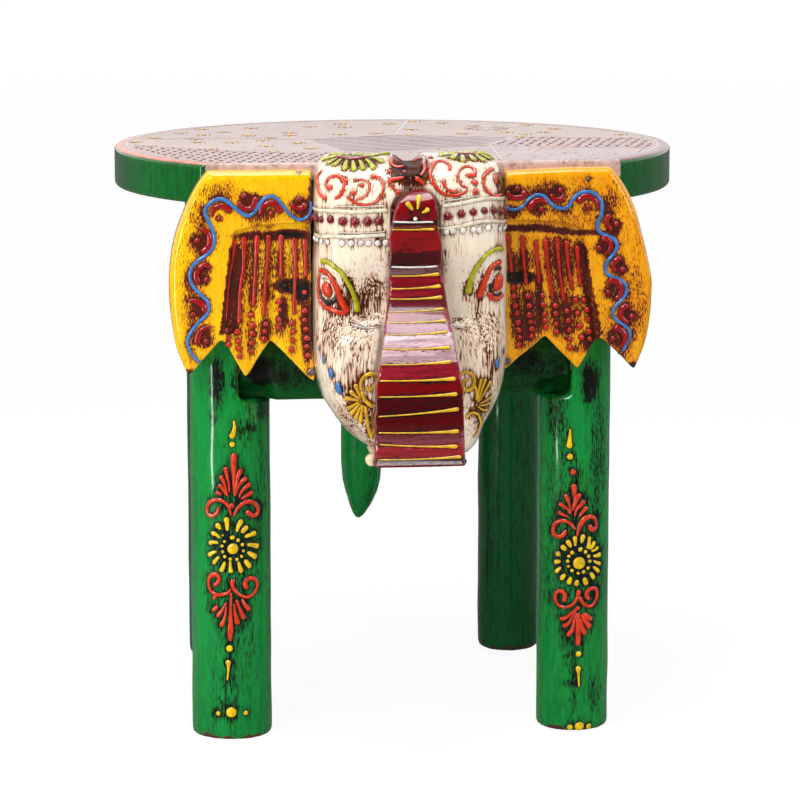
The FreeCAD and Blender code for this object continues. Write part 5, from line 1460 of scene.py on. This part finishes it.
legRightDrawing = {
    "yellow": [
        ([(570.4, 428.1), (569.8, 438), (569.4, 446.2)], (0.4, 0.9, 1.9)),
        ([(577.9, 665.3), (578.5, 675), (579, 686.7)], (1.9, 0.6, 0.4))],
    "yellowDots": [
        (570, 456.6, 1.7), (578.6, 654, 1.5), (569.8, 727.1, 1.6), (579.2, 726, 2.6),
        (588.6, 726, 1.7)],
    "redDots": [(573.3, 472, 1.6)],
    "palmettes": [
        ([(575.4, 508), (575, 499), (574.2, 492), (573.8, 486.2)], (0.6, 0.9, 1.4, 1.85)),
        ([(571, 514), (569.6, 505), (567.6, 499.6), (565.8, 495.4)], (0.35, 0.6, 1.1, 1.4)),
        ([(570, 515), (568.6, 510.4), (565.2, 507.2), (561.8, 505), (560, 503.4)],
         (0.5, 0.6, 0.8, 1.2, 1.0)),
        ([(569.4, 517.4), (566, 515.8), (562.6, 514.4), (559.4, 512.4)], (0.4, 0.5, 0.9, 1.35)),
        ([(572.4, 511.6), (573.8, 506), (576.8, 499), (579.6, 494.8)], (0.5, 0.9, 1.3, 1.3)),
        ([(574.6, 517.4), (576, 511), (579, 506.6), (583.6, 501.8)], (0.4, 0.6, 1.0, 1.45)),
        ([(579, 518), (581, 514), (583.2, 511), (586.2, 508)], (0.4, 0.8, 1.0, 1.4)),
        ([(576.2, 530.4), (573.2, 526.8), (570.2, 523.4), (566, 521.2), (560.6, 520.6),
         (556, 523), (553.4, 527.6), (553.4, 532.4), (556.6, 536), (560.6, 536.4), (564.4, 533.6),
         (565.2, 530.6)], (0.5, 0.8, 0.9, 1.0, 1.1, 1.2, 1.25, 1.25, 1.2, 1.2, 1.2, 1.0)),
        ([(576.6, 537.6), (578, 532), (579.6, 526.6), (582.4, 521.2), (585.6, 518),
         (590.6, 516.6), (594.4, 518.4), (596, 523.4), (595.6, 528), (592.4, 529.6), (590, 527.2),
         (590.2, 525.6)], (0.6, 0.9, 1.2, 1.6, 1.5, 1.2, 1.0, 0.95, 1.1, 1.4, 1.6, 1.3)),
        ([(578.6, 589), (578.4, 592.6), (578, 596)], (1.3, 1.3, 1.1)),
        ([(577.4, 596), (575.6, 600.6), (572.6, 604.4), (568, 606.8), (562.6, 607),
         (557.6, 603.8), (555.2, 598.6), (556.2, 593.6), (559.8, 590.6), (563.6, 592.4),
         (565.2, 596.4), (563.8, 600)],
         (1.0, 0.9, 0.8, 0.8, 0.85, 0.9, 0.95, 1.0, 1.1, 1.2, 1.3, 1.3)),
        ([(579.2, 596), (581.6, 601), (584.6, 604.6), (589.4, 606.2), (593.4, 604), (595.8, 599),
         (597, 593.4), (595.4, 588.8), (592.4, 588), (588.4, 590), (586, 593.4), (586.8, 597),
         (589, 598.2)], (1.0, 1.0, 1.0, 0.9, 0.9, 1.0, 1.05, 1.2, 1.2, 1.1, 1.1, 1.2, 1.0)),
        ([(578, 605.4), (578, 609)], (1.5, 1.2)),
        ([(578.4, 612), (578.4, 622), (578, 633), (578.2, 638), (577.6, 644)],
         (0.9, 1.5, 1.6, 1.6, 1.3)),
        ([(577.2, 608.4), (571, 613.4), (566.4, 617.4), (561.6, 618.6)], (0.9, 0.7, 1.0, 1.3)),
        ([(576.6, 610.6), (572, 617.6), (569, 622.6), (564.6, 625.8)], (0.7, 0.6, 0.8, 1.6)),
        ([(577, 613), (574, 622), (572.6, 629), (568.4, 634.6)], (0.5, 0.8, 1.1, 1.5)),
        ([(583, 612.4), (586.4, 615.8), (590.4, 618.8)], (1.0, 1.4, 1.4)),
        ([(581.4, 613.8), (584.6, 620), (588.8, 626)], (0.7, 1.2, 1.8)),
        ([(580.6, 618), (581.8, 627), (584.6, 632.6)], (0.8, 1.4, 1.7))],
    "petals": [
        ([(575.2, 547), (575.2, 542), (574.8, 537.6)], (0.5, 0.9, 1.5)),
        ([(581.2, 544), (582, 540), (583, 536)], (0.5, 1.1, 1.6)),
        ([(585.8, 548.4), (588.2, 546.6), (589, 541), (589.4, 537.6)], (0.8, 1.2, 0.9, 1.3)),
        ([(588, 548.8), (592, 546.4), (593.8, 542)], (0.9, 1.1, 1.2)),
        ([(590.8, 551.2), (594.2, 550.2), (597, 547.6)], (0.9, 0.6, 1.3)),
        ([(592.4, 556), (595.6, 555.8), (598.8, 554.4)], (0.7, 0.9, 1.5)),
        ([(593.2, 559.8), (595.4, 562), (599, 563.2)], (0.6, 0.7, 1.2)),
        ([(592.6, 566), (595.6, 568.8), (598, 571)], (0.6, 1.0, 1.2)),
        ([(589.8, 572), (591.8, 575), (593.4, 578)], (0.7, 1.2, 1.25)),
        ([(584.4, 576.6), (584.8, 580), (585.8, 583.6)], (1.0, 1.3, 1.5)),
        ([(577.2, 579), (576.8, 582), (576.4, 584.6)], (0.8, 1.2, 1.5)),
        ([(571.2, 576), (570, 580), (568.6, 583)], (0.8, 1.2, 1.4)),
        ([(566, 573.6), (563.4, 576.2), (561.4, 578.8)], (0.6, 1.2, 1.3)),
        ([(561.6, 566.8), (559, 569), (556.4, 571.4)], (0.5, 0.9, 1.35)),
        ([(561.6, 561.2), (558.6, 561.4), (555.6, 562)], (0.5, 1.1, 1.4)),
        ([(561, 556.2), (559.4, 555), (557.4, 553)], (0.7, 1.4, 1.6)),
        ([(567.2, 550.8), (564.8, 548.6), (562.4, 546.4)], (0.7, 1.3, 1.5)),
        ([(571.2, 548.2), (569.8, 544.6), (567.8, 541.6)], (0.5, 1.2, 1.6)),
        ([(577.6, 551.2), (579.6, 549.8), (581.6, 548.4)], (0.9, 1.2))],
    "petalDots": [
        (579, 563, 3.4), (572.2, 552.6, 1.1), (568.8, 556.2, 0.9), (567.8, 561.2, 0.95),
        (568.4, 566.2, 0.85), (572, 570.6, 1.0), (578.2, 573.2, 0.9), (583.6, 571.8, 1.05),
        (588, 568, 1.0), (589.8, 561.2, 1.0), (588.6, 556.2, 1.05), (585.6, 551.8, 1.05)],
}


def dressLeg(node, drawing, tag):
    drawLines(tag + "Petals", node, drawing["yellow"] + drawing["petals"], "yellow", 0.8, 1.15,
              flatness=0.6)
    drawDrops(tag + "Drops", node, drawing["yellowDots"] + drawing["petalDots"], "yellow", 8, 0.5)
    drawLines(tag + "Palmettes", node, drawing["palmettes"], "orangeRed", 0.9, 1.03, flatness=0.6)
    drawDrops(tag + "RedDots", node, drawing["redDots"], "orangeRed", 8, 0.5)


dressLeg("leg_front_left", legLeftDrawing, "legLeft")
dressLeg("leg_front_right", legRightDrawing, "legRight")
print("legs drawn")


# Seat top: five panels round a middle one, with white seams, dashes and small blossoms

seatDrawing = {
    "middle": [(-48, 50), (6, 74), (72, 55), (51, 9), (-33, -27)],   # mm, seen from above
    "seams": [
        [(-48, 50), (-92, 66), (-127, 61)], [(6, 74), (23, 166)], [(72, 55), (141, 40)],
        [(51, 9), (96, -6), (134, -10)], [(-33, -27), (-80, -16), (-140, 30)],
        [(51, 9), (47, -74)], [(-33, -27), (-38, -74)]],
    "ringRadius": 143.4,
    "ringBand": 4.0,
    "seamWidth": 0.55,
    "ringSteps": 40,
    "edgeKept": (3, 5),        # mm clear of the ring and of the straight front
    "dashStep": (5.6, 8.6),
    "dashLength": 4.6, "dashSpread": (0.8, 1.2), "dashWidths": (1.5, 0.9),
    "dashShift": (0.5, 0.4),
    "dashLean": {"frontLeft": 0.45, "right": -0.3},
    "sprinkled": 0.3, "sprinkle": (0.6, 1.0),   # share of places, and sizes
    "thinLines": 13, "thinFrom": -24, "thinStep": 7.6, "thinSlope": 0.26, "thinShift": 0.3,
    "thinWidths": (0.3, 0.45, 0.3),
    "blossoms": 40, "blossomGap": 15, "heart": 1.5, "blossomReach": (2.0, 5.2),
    "blossomWidths": (0.5, 1.6), "blossomPetals": 6, "tries": 4000,
    "daisy": (62, 112), "daisyPetals": 11, "daisyReach": (4.0, 9.0, 14.0),
    "daisyWidths": (0.5, 1.1, 1.9),
    "seed": 41,
}


def insideShape(x, y, corners):
    inside = False
    for (ax, ay), (bx, by) in zip(corners, corners[1:] + corners[:1]):
        if (ay > y) != (by > y) and x < (bx - ax) * (y - ay) / (by - ay) + ax:
            inside = not inside
    return inside


panelShapes = {
    "middle": seatDrawing["middle"],
    "backLeft": [(-48, 50), (6, 74), (26, 190), (-180, 190), (-180, 45), (-92, 66)],
    "backRight": [(6, 74), (26, 190), (190, 190), (190, 30), (72, 55)],
    "right": [(72, 55), (190, 30), (190, -18), (96, -6), (51, 9)],
    "frontRight": [(51, 9), (96, -6), (190, -18), (190, -120), (47, -120)],
    "front": [(51, 9), (47, -120), (-38, -120), (-33, -27)],
    "frontLeft": [(-33, -27), (-38, -120), (-190, -120), (-190, 50), (-80, -16)],
    "left": [(-33, -27), (-80, -16), (-190, 50), (-92, 66), (-48, 50)],
}
panelColours = {
    "middle": (188, 154, 154), "backLeft": (180, 142, 128), "backRight": (186, 150, 132),
    "right": (188, 134, 128), "frontRight": (184, 150, 152), "front": (178, 140, 138),
    "frontLeft": (188, 138, 126), "left": (190, 156, 144),
}


def panelAt(x, y):
    for name, corners in panelShapes.items():
        if insideShape(x, y, corners):
            return name
    return "left"


def onSeat(x, y):
    # inside the white ring and clear of the straight front
    cx, cy = seat["centre"]
    ring, front = seatDrawing["edgeKept"]
    return (math.hypot(x - cx, y - cy) < seatDrawing["ringRadius"] - ring
            and y > seat["front"] + front)


def colourSeat(piece):
    layer = piece.data.attributes.new("panelColour", "FLOAT_COLOR", "POINT")
    tones = {name: srgb(*colour) for name, colour in panelColours.items()}
    salmon, brown = srgb(*seat["bandColour"]), srgb(*seat["bandDark"])
    front = srgb(*seat["frontColourPaintedGlare"])
    cx, cy = seat["centre"]
    for vertex, value in zip(piece.data.vertices, layer.data):
        x, y = vertex.co.x / mm, vertex.co.y / mm
        away = math.hypot(x - cx, y - cy)
        # the straight edge takes the pale colour with its painted glare
        if y < seat["front"] + 1.5:
            value.color = front
        elif away > seat["bandFrom"]:
            share = min(1.0, max(0.0, (x + y * 0.6 + 110) / 90))
            value.color = [a + (b - a) * share for a, b in zip(salmon, brown)]
        else:
            value.color = tones[panelAt(x, y)]


def dressSeat():
    node, draw = "seat_top", seatDrawing
    cx, cy = seat["centre"]

    def spot(x, y):
        return Vector((x * mm, y * mm, seat["top"] * mm))

    ringRadius, count = draw["ringRadius"], draw["ringSteps"]
    low = seat["front"] + draw["ringBand"]
    start = math.atan2(low - cy, math.sqrt(ringRadius ** 2 - (cy - low) ** 2))
    ring = [(cx + ringRadius * math.cos(start + (math.pi - 2 * start) * i / count),
             cy + ringRadius * math.sin(start + (math.pi - 2 * start) * i / count))
            for i in range(count + 1)]
    seams = [([spot(x, y) for x, y in path], (draw["seamWidth"],))
             for path in draw["seams"] + [ring]]
    paintLines("seatRing", node, seams, "palePink", 1.2, 6, 0.35)
    outline = draw["middle"] + draw["middle"][:1]
    sides = [([spot(*first), spot(*last)], (0.5,)) for first, last in zip(outline, outline[1:])]
    paintLines("seatMiddleSeams", node, sides, "palePink", 1.2, 6, 0.35)
    chance = random.Random(draw["seed"])
    dashes, thin, blossoms, hearts = [], [], [], []
    stepX, stepY = draw["dashStep"]
    shiftX, shiftY = draw["dashShift"]
    row = 0
    y = seat["front"] + 6
    while y < cy + 150:
        x = -150 + (row % 2) * stepX / 2
        while x < 150:
            panel = panelAt(x, y)
            px, py = x + chance.uniform(-shiftX, shiftX), y + chance.uniform(-shiftY, shiftY)
            if onSeat(px, py) and panel in draw["dashLean"]:
                long = draw["dashLength"] * chance.uniform(*draw["dashSpread"]) / 2
                lean = long * draw["dashLean"][panel]
                dashes.append(([spot(px - lean, py - long), spot(px + lean, py + long)],
                               draw["dashWidths"]))
            elif (onSeat(px, py) and panel in ("frontRight", "front")
                  and chance.random() < draw["sprinkled"]):
                hearts.append((spot(px, py), chance.uniform(*draw["sprinkle"])))
            x += stepX
        y += stepY
        row += 1
    slope, shift = draw["thinSlope"], draw["thinShift"]
    for i in range(draw["thinLines"]):
        # long thin lines over the middle panel
        level = draw["thinFrom"] + i * draw["thinStep"]
        path = [(x, level + slope * x) for x in range(-56, 80, 2)
                if insideShape(x, level + slope * x, draw["middle"])]
        if len(path) > 4:
            inner = path[1:-1:4] + [path[-2]]
            thin.append(([spot(x, y + chance.uniform(-shift, shift)) for x, y in inner],
                         draw["thinWidths"]))
    tries = 0
    centres = []
    while len(centres) < draw["blossoms"] and tries < draw["tries"]:
        tries += 1
        x, y = chance.uniform(-145, 145), chance.uniform(-70, 172)
        if not onSeat(x, y) or panelAt(x, y) not in ("backLeft", "backRight", "left"):
            continue
        if all(math.hypot(x - a, y - b) > draw["blossomGap"]
               for a, b in centres + [draw["daisy"]]):
            centres.append((x, y))

    def petals(x, y, count, turn, reach, widths):
        return [([spot(x + math.cos(turn + i * 2 * math.pi / count) * r,
                       y + math.sin(turn + i * 2 * math.pi / count) * r) for r in reach], widths)
                for i in range(count)]

    for x, y in centres:
        hearts.append((spot(x, y), draw["heart"]))
        blossoms += petals(x, y, draw["blossomPetals"], chance.uniform(0, 6),
                           draw["blossomReach"], draw["blossomWidths"])
    daisy = petals(*draw["daisy"], draw["daisyPetals"], 0, draw["daisyReach"],
                   draw["daisyWidths"])
    paintLines("seatDashes", node, dashes, "maroon", 1.1, 6, 0.35)
    paintLines("seatThinLines", node, thin, "maroon", 2.0, 6, 0.35)
    paintLines("seatBlossoms", node, blossoms, "ochre", 0.9, 6, 0.35)
    paintLines("seatDaisy", node, daisy, "palePink", 0.9, 8, 0.35)
    paintDrops("seatSprinkle", node, hearts, "ochre", 4, 0.4)


dressSeat()
colourSeat(hosts["seat_top"])
print("seat drawn")


# Stain and painted shade: how near each place of a piece is to raised paint, and where more stain
# was left; some of these patches are painted shadow and shade, named at their lists

stainAndShadowPatches = {
    # pixel, half width and half height in pixels, strength
    # on the head the strip down the left edge (317, 290) and the patch by the left tusk (377, 452)
    # are painted shade; the patches down the right cheek (x 468 to 492) are brown stain with
    # painted shade of that side
    "head": [
        (409, 170, 20, 19, 2.3), (354, 160, 30, 9, 1.2), (468, 156, 28, 7, 1.1),
        (371, 297, 15, 22, 1.15), (374, 284, 12, 8, 1.2), (366, 316, 20, 7, 0.9),
        (455, 320, 14, 3.5, 1.1), (477, 308, 7, 22, 1.0), (484, 338, 9, 18, 0.8),
        (468, 292, 7, 12, 0.9), (482, 285, 6, 16, 0.8), (333, 333, 16, 30, 0.95),
        (360, 345, 13, 28, 0.75), (350, 382, 20, 24, 0.7), (348, 422, 26, 28, 0.8),
        (371, 420, 12, 28, 0.9), (492, 352, 12, 48, 1.0), (482, 402, 15, 36, 0.9),
        (377, 452, 7, 8, 1.4), (330, 314, 12, 14, 0.65), (317, 290, 3, 100, 0.8),
        (501, 182, 6, 16, 1.4), (497, 212, 10, 9, 0.7), (349, 290, 8, 22, 0.8),
        (468, 345, 12, 30, 0.55), (445, 262, 3, 18, 0.8), (498, 245, 8, 10, 0.5),
        (325, 250, 8, 10, 0.3), (460, 248, 5, 14, 0.45)],
    "ear_left": [
        (218, 192, 22, 11, 1.1), (251, 200, 13, 9, 1.5), (197, 215, 10, 17, 1.1),
        (199, 243, 13, 14, 1.4), (189, 305, 8, 54, 0.9), (203, 275, 9, 12, 1.3),
        (197, 308, 10, 12, 1.3), (205, 338, 10, 14, 1.2), (302, 208, 11, 12, 1.4),
        (311, 205, 4, 28, 1.7), (261, 213, 16, 13, 1.1), (262, 223, 15, 9, 0.8),
        (252, 272, 14, 40, 1.05), (262, 236, 30, 5, 1.9), (292, 234, 22, 5, 2.6),
        (284, 312, 5, 20, 1.9), (293, 286, 22, 8, 3.2), (307, 325, 7, 42, 1.6),
        (267, 290, 13, 13, 1.0), (266, 330, 9, 13, 1.2), (189, 373, 5, 4, 2.4),
        (308, 245, 6, 30, 1.2), (240, 320, 10, 22, 0.6), (303, 292, 8, 14, 2.8),
        (253, 340, 8, 16, 0.6), (280, 330, 10, 14, 0.8), (264, 272, 40, 34, 0.8),
        (184, 262, 12, 70, 0.3)],
    "ear_right": [
        (546, 190, 24, 11, 1.3), (514, 192, 11, 8, 1.9), (512, 213, 12, 8, 1.5),
        (538, 211, 11, 9, 1.1), (611, 203, 12, 16, 1.2), (614, 227, 9, 12, 1.5),
        (606, 246, 10, 12, 1.3), (621, 267, 8, 12, 1.3), (612, 291, 9, 12, 1.3),
        (637, 303, 12, 40, 0.85), (627, 315, 8, 13, 1.3), (616, 338, 10, 14, 1.3),
        (526, 228, 34, 4, 2.3), (580, 232.5, 28, 3.2, 1.9), (553, 230, 24, 3, 2),
        (520, 277, 17, 7, 3.2), (521, 262, 16, 14, 1.4), (525, 316, 17, 34, 1.3),
        (539, 300, 5, 38, 1.9), (560, 262, 16, 30, 1.1), (565, 312, 18, 28, 1.1),
        (590, 342, 10, 12, 1.9), (581, 348, 8, 6, 1.4), (634, 366, 6, 5, 2.4),
        (580, 250, 10, 14, 0.9), (560, 218, 50, 14, 0.7), (590, 185, 40, 12, 0.55),
        (630, 250, 16, 60, 0.35), (604, 320, 12, 40, 0.55), (620, 350, 14, 16, 0.8)],
    # on the front left leg (217, 384) and (244, 380) under the ear are painted shadow cast by the
    # ear, with stain
    "leg_front_left": [
        (222, 690, 12, 26, 0.62), (238, 640, 22, 70, 0.75), (262, 500, 9, 100, 0.75),
        (233, 548, 27, 34, 0.85), (233, 490, 24, 30, 0.62), (217, 384, 9, 30, 1.7),
        (244, 380, 16, 20, 1.6), (250, 420, 12, 34, 0.88), (262, 400, 10, 30, 1.25),
        (250, 428, 9, 5, 1.62), (214, 412, 6, 18, 1.12), (230, 600, 26, 40, 0.62),
        (232, 700, 8, 40, 1.12), (215, 700, 5, 40, 0.62)],
    # on the front right leg (590, 382) under the ear is painted shadow cast by the ear, and (556,
    # 408) is painted shadow with dark stain
    "leg_front_right": [
        (556, 408, 12, 40, 1.35), (594, 693, 8, 22, 1.12), (568, 683, 8, 5, 1.12),
        (566, 640, 9, 40, 0.88), (598, 470, 9, 80, 1.12), (594, 560, 14, 70, 0.88),
        (575, 560, 27, 34, 0.85), (556, 480, 10, 70, 0.75), (545, 560, 8, 110, 0.75),
        (590, 382, 11, 24, 1.7), (600, 420, 5, 60, 1.2), (574, 500, 26, 40, 0.62),
        (576, 610, 26, 36, 0.62), (574, 690, 5, 40, 0.62)],
    "leg_rear_right": [(490, 500, 14, 140, 0.4), (524, 440, 10, 60, 0.5)],
    # the tusks' patches are painted shade where they sit beside the trunk's foot
    "tusk_left": [(375.6, 461, 3, 7, 1.6)],
    "tusk_right": [(466, 460, 6, 4, 1.8)],
    # on the front board the patches under the ears are stain with painted shadow cast by the ears
    "apron_front": [
        (285, 372, 40, 16, 1.2), (540, 370, 40, 18, 1.0), (262, 372, 14, 16, 2.4),
        (525, 360, 20, 14, 1.6)],
    "trunk": [(418, 462, 60, 4, 1.1), (415, 215, 16, 8, 0.8), (408, 252, 22, 14, 0.8),
              (420, 400, 38, 30, 0.5)],
    "tail": [(370, 490, 10, 30, 0.6)],
}
# dark flutes of the ears, with a clear edge: corners in pixels
stainFlutes = {
    "ear_left": [
        [(229.6, 246.6), (239.5, 244.5), (243, 256), (241.6, 284), (236.5, 333), (219.6, 335)]],
    "ear_right": [
        [(583, 243.5), (586.5, 246), (589.5, 264), (594, 290), (598, 311), (602.5, 333),
         (594, 344), (588, 320), (584, 295), (580, 262), (579.5, 247)]],
}
stainRules = {"flute": 1.7, "patchEnd": 3, "reach": 4.0}
stainReach = {"head": 2.6, "ear_left": 3.6, "ear_right": 3.6, "trunk": 2.5, "seat_top": 2.0,
              "leg_front_left": 5.0, "leg_front_right": 5.0}


def spreadStainAndShadow(node, piece):
    mesh = piece.data
    nearLayer = mesh.attributes.new("near", "FLOAT", "POINT")
    stainAndShadeLayer = mesh.attributes.new("stainAndShadeAmount", "FLOAT", "POINT")
    marks = [v.co.copy() for shape in ornaments[node] for v in shape.data.vertices]
    tree = kdtree.KDTree(len(marks))
    for i, spot in enumerate(marks):
        tree.insert(spot, i)
    tree.balance()
    reach = stainReach.get(node, stainRules["reach"]) * mm
    patches = stainAndShadowPatches.get(node, [])
    flutes = stainFlutes.get(node, [])
    near, stainAndShadeAmount = [], []
    for vertex in mesh.vertices:
        gap = tree.find(vertex.co)[2] if marks else None
        near.append(max(0.0, 1.0 - gap / reach) if gap is not None else 0.0)
        total = 0.0
        if patches and (camera["place"] - vertex.co).dot(vertex.normal) > 0:
            x, y = photoPixel(vertex.co)
            for px, py, wide, high, strength in patches:
                away = ((x - px) / wide) ** 2 + ((y - py) / high) ** 2
                if away < stainRules["patchEnd"]:
                    total = max(total, strength * math.exp(-away * away))
            if any(insideShape(x, y, corners) for corners in flutes):
                total = max(total, stainRules["flute"])
        stainAndShadeAmount.append(total)
    nearLayer.data.foreach_set("value", near)
    stainAndShadeLayer.data.foreach_set("value", stainAndShadeAmount)


for node, piece in hosts.items():
    if ornaments[node] or node in stainAndShadowPatches:
        spreadStainAndShadow(node, piece)
print("stain spread")


# Floor, light and camera

room = {
    "floorReach": 40.0,          # metres each way
    "floorColour": (244, 244, 244), "floorRough": 0.9,
    "glow": 1.05, "farGlow": 0.05, "farFrom": (0.5, 6.0), "glossyLess": 0.94, "glowShare": 0.88,
    "aheadFrom": (-0.55, 0.25),  # from behind the camera to behind the stool
    "mirrored": (0.06, 0.94), "light": 0.3,
}


def makeFloor():
    work = bmesh.new()
    reach = room["floorReach"]
    corners = [work.verts.new((x, y, 0.0)) for x, y in
               ((-reach, -reach), (reach, -reach), (reach, reach), (-reach, reach))]
    work.faces.new(corners)
    mesh = bpy.data.meshes.new("floor")
    work.to_mesh(mesh)
    work.free()
    material, tree, shader = startMaterial("paleFloor")
    shader.inputs["Base Color"].default_value = srgb(*room["floorColour"])
    shader.inputs["Roughness"].default_value = room["floorRough"]
    path = place(tree, "ShaderNodeLightPath").outputs
    # the glow evens out the lamps' falloff far from the stool
    spot = place(tree, "ShaderNodeTexCoord").outputs["Object"]
    far = smoothBetween(tree, place(tree, "ShaderNodeVectorMath", {0: spot},
                                    operation="LENGTH").outputs["Value"], *room["farFrom"])
    # a mirror image of the floor in front stays darker than the backdrop
    bright = calc(tree, "SUBTRACT", calc(
        tree, "ADD", room["glow"], calc(tree, "MULTIPLY", far, room["farGlow"])),
        calc(tree, "MULTIPLY", path["Is Glossy Ray"], room["glossyLess"]))
    glow = place(tree, "ShaderNodeEmission", {"Color": (1, 1, 1, 1), "Strength": bright})
    seen = calc(tree, "MAXIMUM", path["Is Camera Ray"],
                calc(tree, "MAXIMUM", path["Is Glossy Ray"], path["Is Transmission Ray"]))
    mixed = place(tree, "ShaderNodeMixShader", {
        0: calc(tree, "MULTIPLY", seen, room["glowShare"]), 1: shader.outputs[0],
        2: glow.outputs[0]})
    output = tree.nodes["Material Output"]
    tree.links.new(mixed.outputs[0], output.inputs["Surface"])
    mesh.materials.append(material)
    addObject("floor", mesh)


def makeWorld():
    world = bpy.data.worlds.new("studio")
    scene.world = world
    world.use_nodes = True
    tree = world.node_tree
    back = tree.nodes["Background"]
    path = place(tree, "ShaderNodeLightPath").outputs
    seen = calc(tree, "MAXIMUM", path["Is Camera Ray"], path["Is Transmission Ray"])
    glossy = path["Is Glossy Ray"]
    # the room behind the camera is darker than the backdrop
    aim = place(tree, "ShaderNodeSeparateXYZ", {
        0: place(tree, "ShaderNodeTexCoord").outputs["Generated"]}).outputs
    ahead = smoothBetween(tree, aim[1], *room["aheadFrom"])
    least, more = room["mirrored"]
    mirrored = calc(tree, "ADD", least, calc(tree, "MULTIPLY", ahead, more))
    level = calc(tree, "ADD", calc(tree, "MULTIPLY", glossy, mirrored),
                 calc(tree, "MULTIPLY", calc(tree, "SUBTRACT", 1.0, glossy), room["light"]))
    strength = calc(tree, "MAXIMUM", seen, level)
    back.inputs["Color"].default_value = (1, 1, 1, 1)
    tree.links.new(strength, back.inputs["Strength"])


lamps = {   # metres and watts
    "overhead": {"place": (-0.1, -0.1, 1.5), "aim": (0, -0.05, 0.2), "size": (1.0, 0.6),
                 "watts": 12},
    "leftStrip": {"place": (-0.62, -0.42, 0.26), "aim": (0, 0, 0.2), "size": (0.07, 0.5),
                  "watts": 1.5},
    "keyFront": {"place": (-0.75, -1.35, 1.35), "aim": (0, 0, 0.2), "size": (0.55, 0.55),
                 "watts": 14},
    "rightFront": {"place": (1.4, -1.2, 0.8), "aim": (0, 0, 0.2), "size": (0.2, 0.8),
                   "watts": 5.5},
}


def makeLamps():
    for name, lamp in lamps.items():
        light = bpy.data.lights.new(name, "AREA")
        light.shape = "RECTANGLE"
        light.size, light.size_y = lamp["size"]
        light.energy = lamp["watts"]
        holder = bpy.data.objects.new(name, light)
        holder.location = lamp["place"]
        away = Vector(lamp["place"]) - Vector(lamp["aim"])
        holder.rotation_euler = away.to_track_quat("Z", "Y").to_euler()
        scene.collection.objects.link(holder)


def makeCamera():
    view = bpy.data.cameras.new("photoView")
    view.lens = camera["lens"]
    view.sensor_width = camera["sensor"]
    view.clip_end = 150.0
    holder = bpy.data.objects.new("photoView", view)
    holder.location = camera["place"]
    holder.rotation_euler = camera["forward"].to_track_quat("-Z", "Y").to_euler()
    scene.collection.objects.link(holder)
    scene.camera = holder


makeFloor()
makeWorld()
makeLamps()
makeCamera()
scene.view_settings.view_transform = "Standard"
print("stage done")
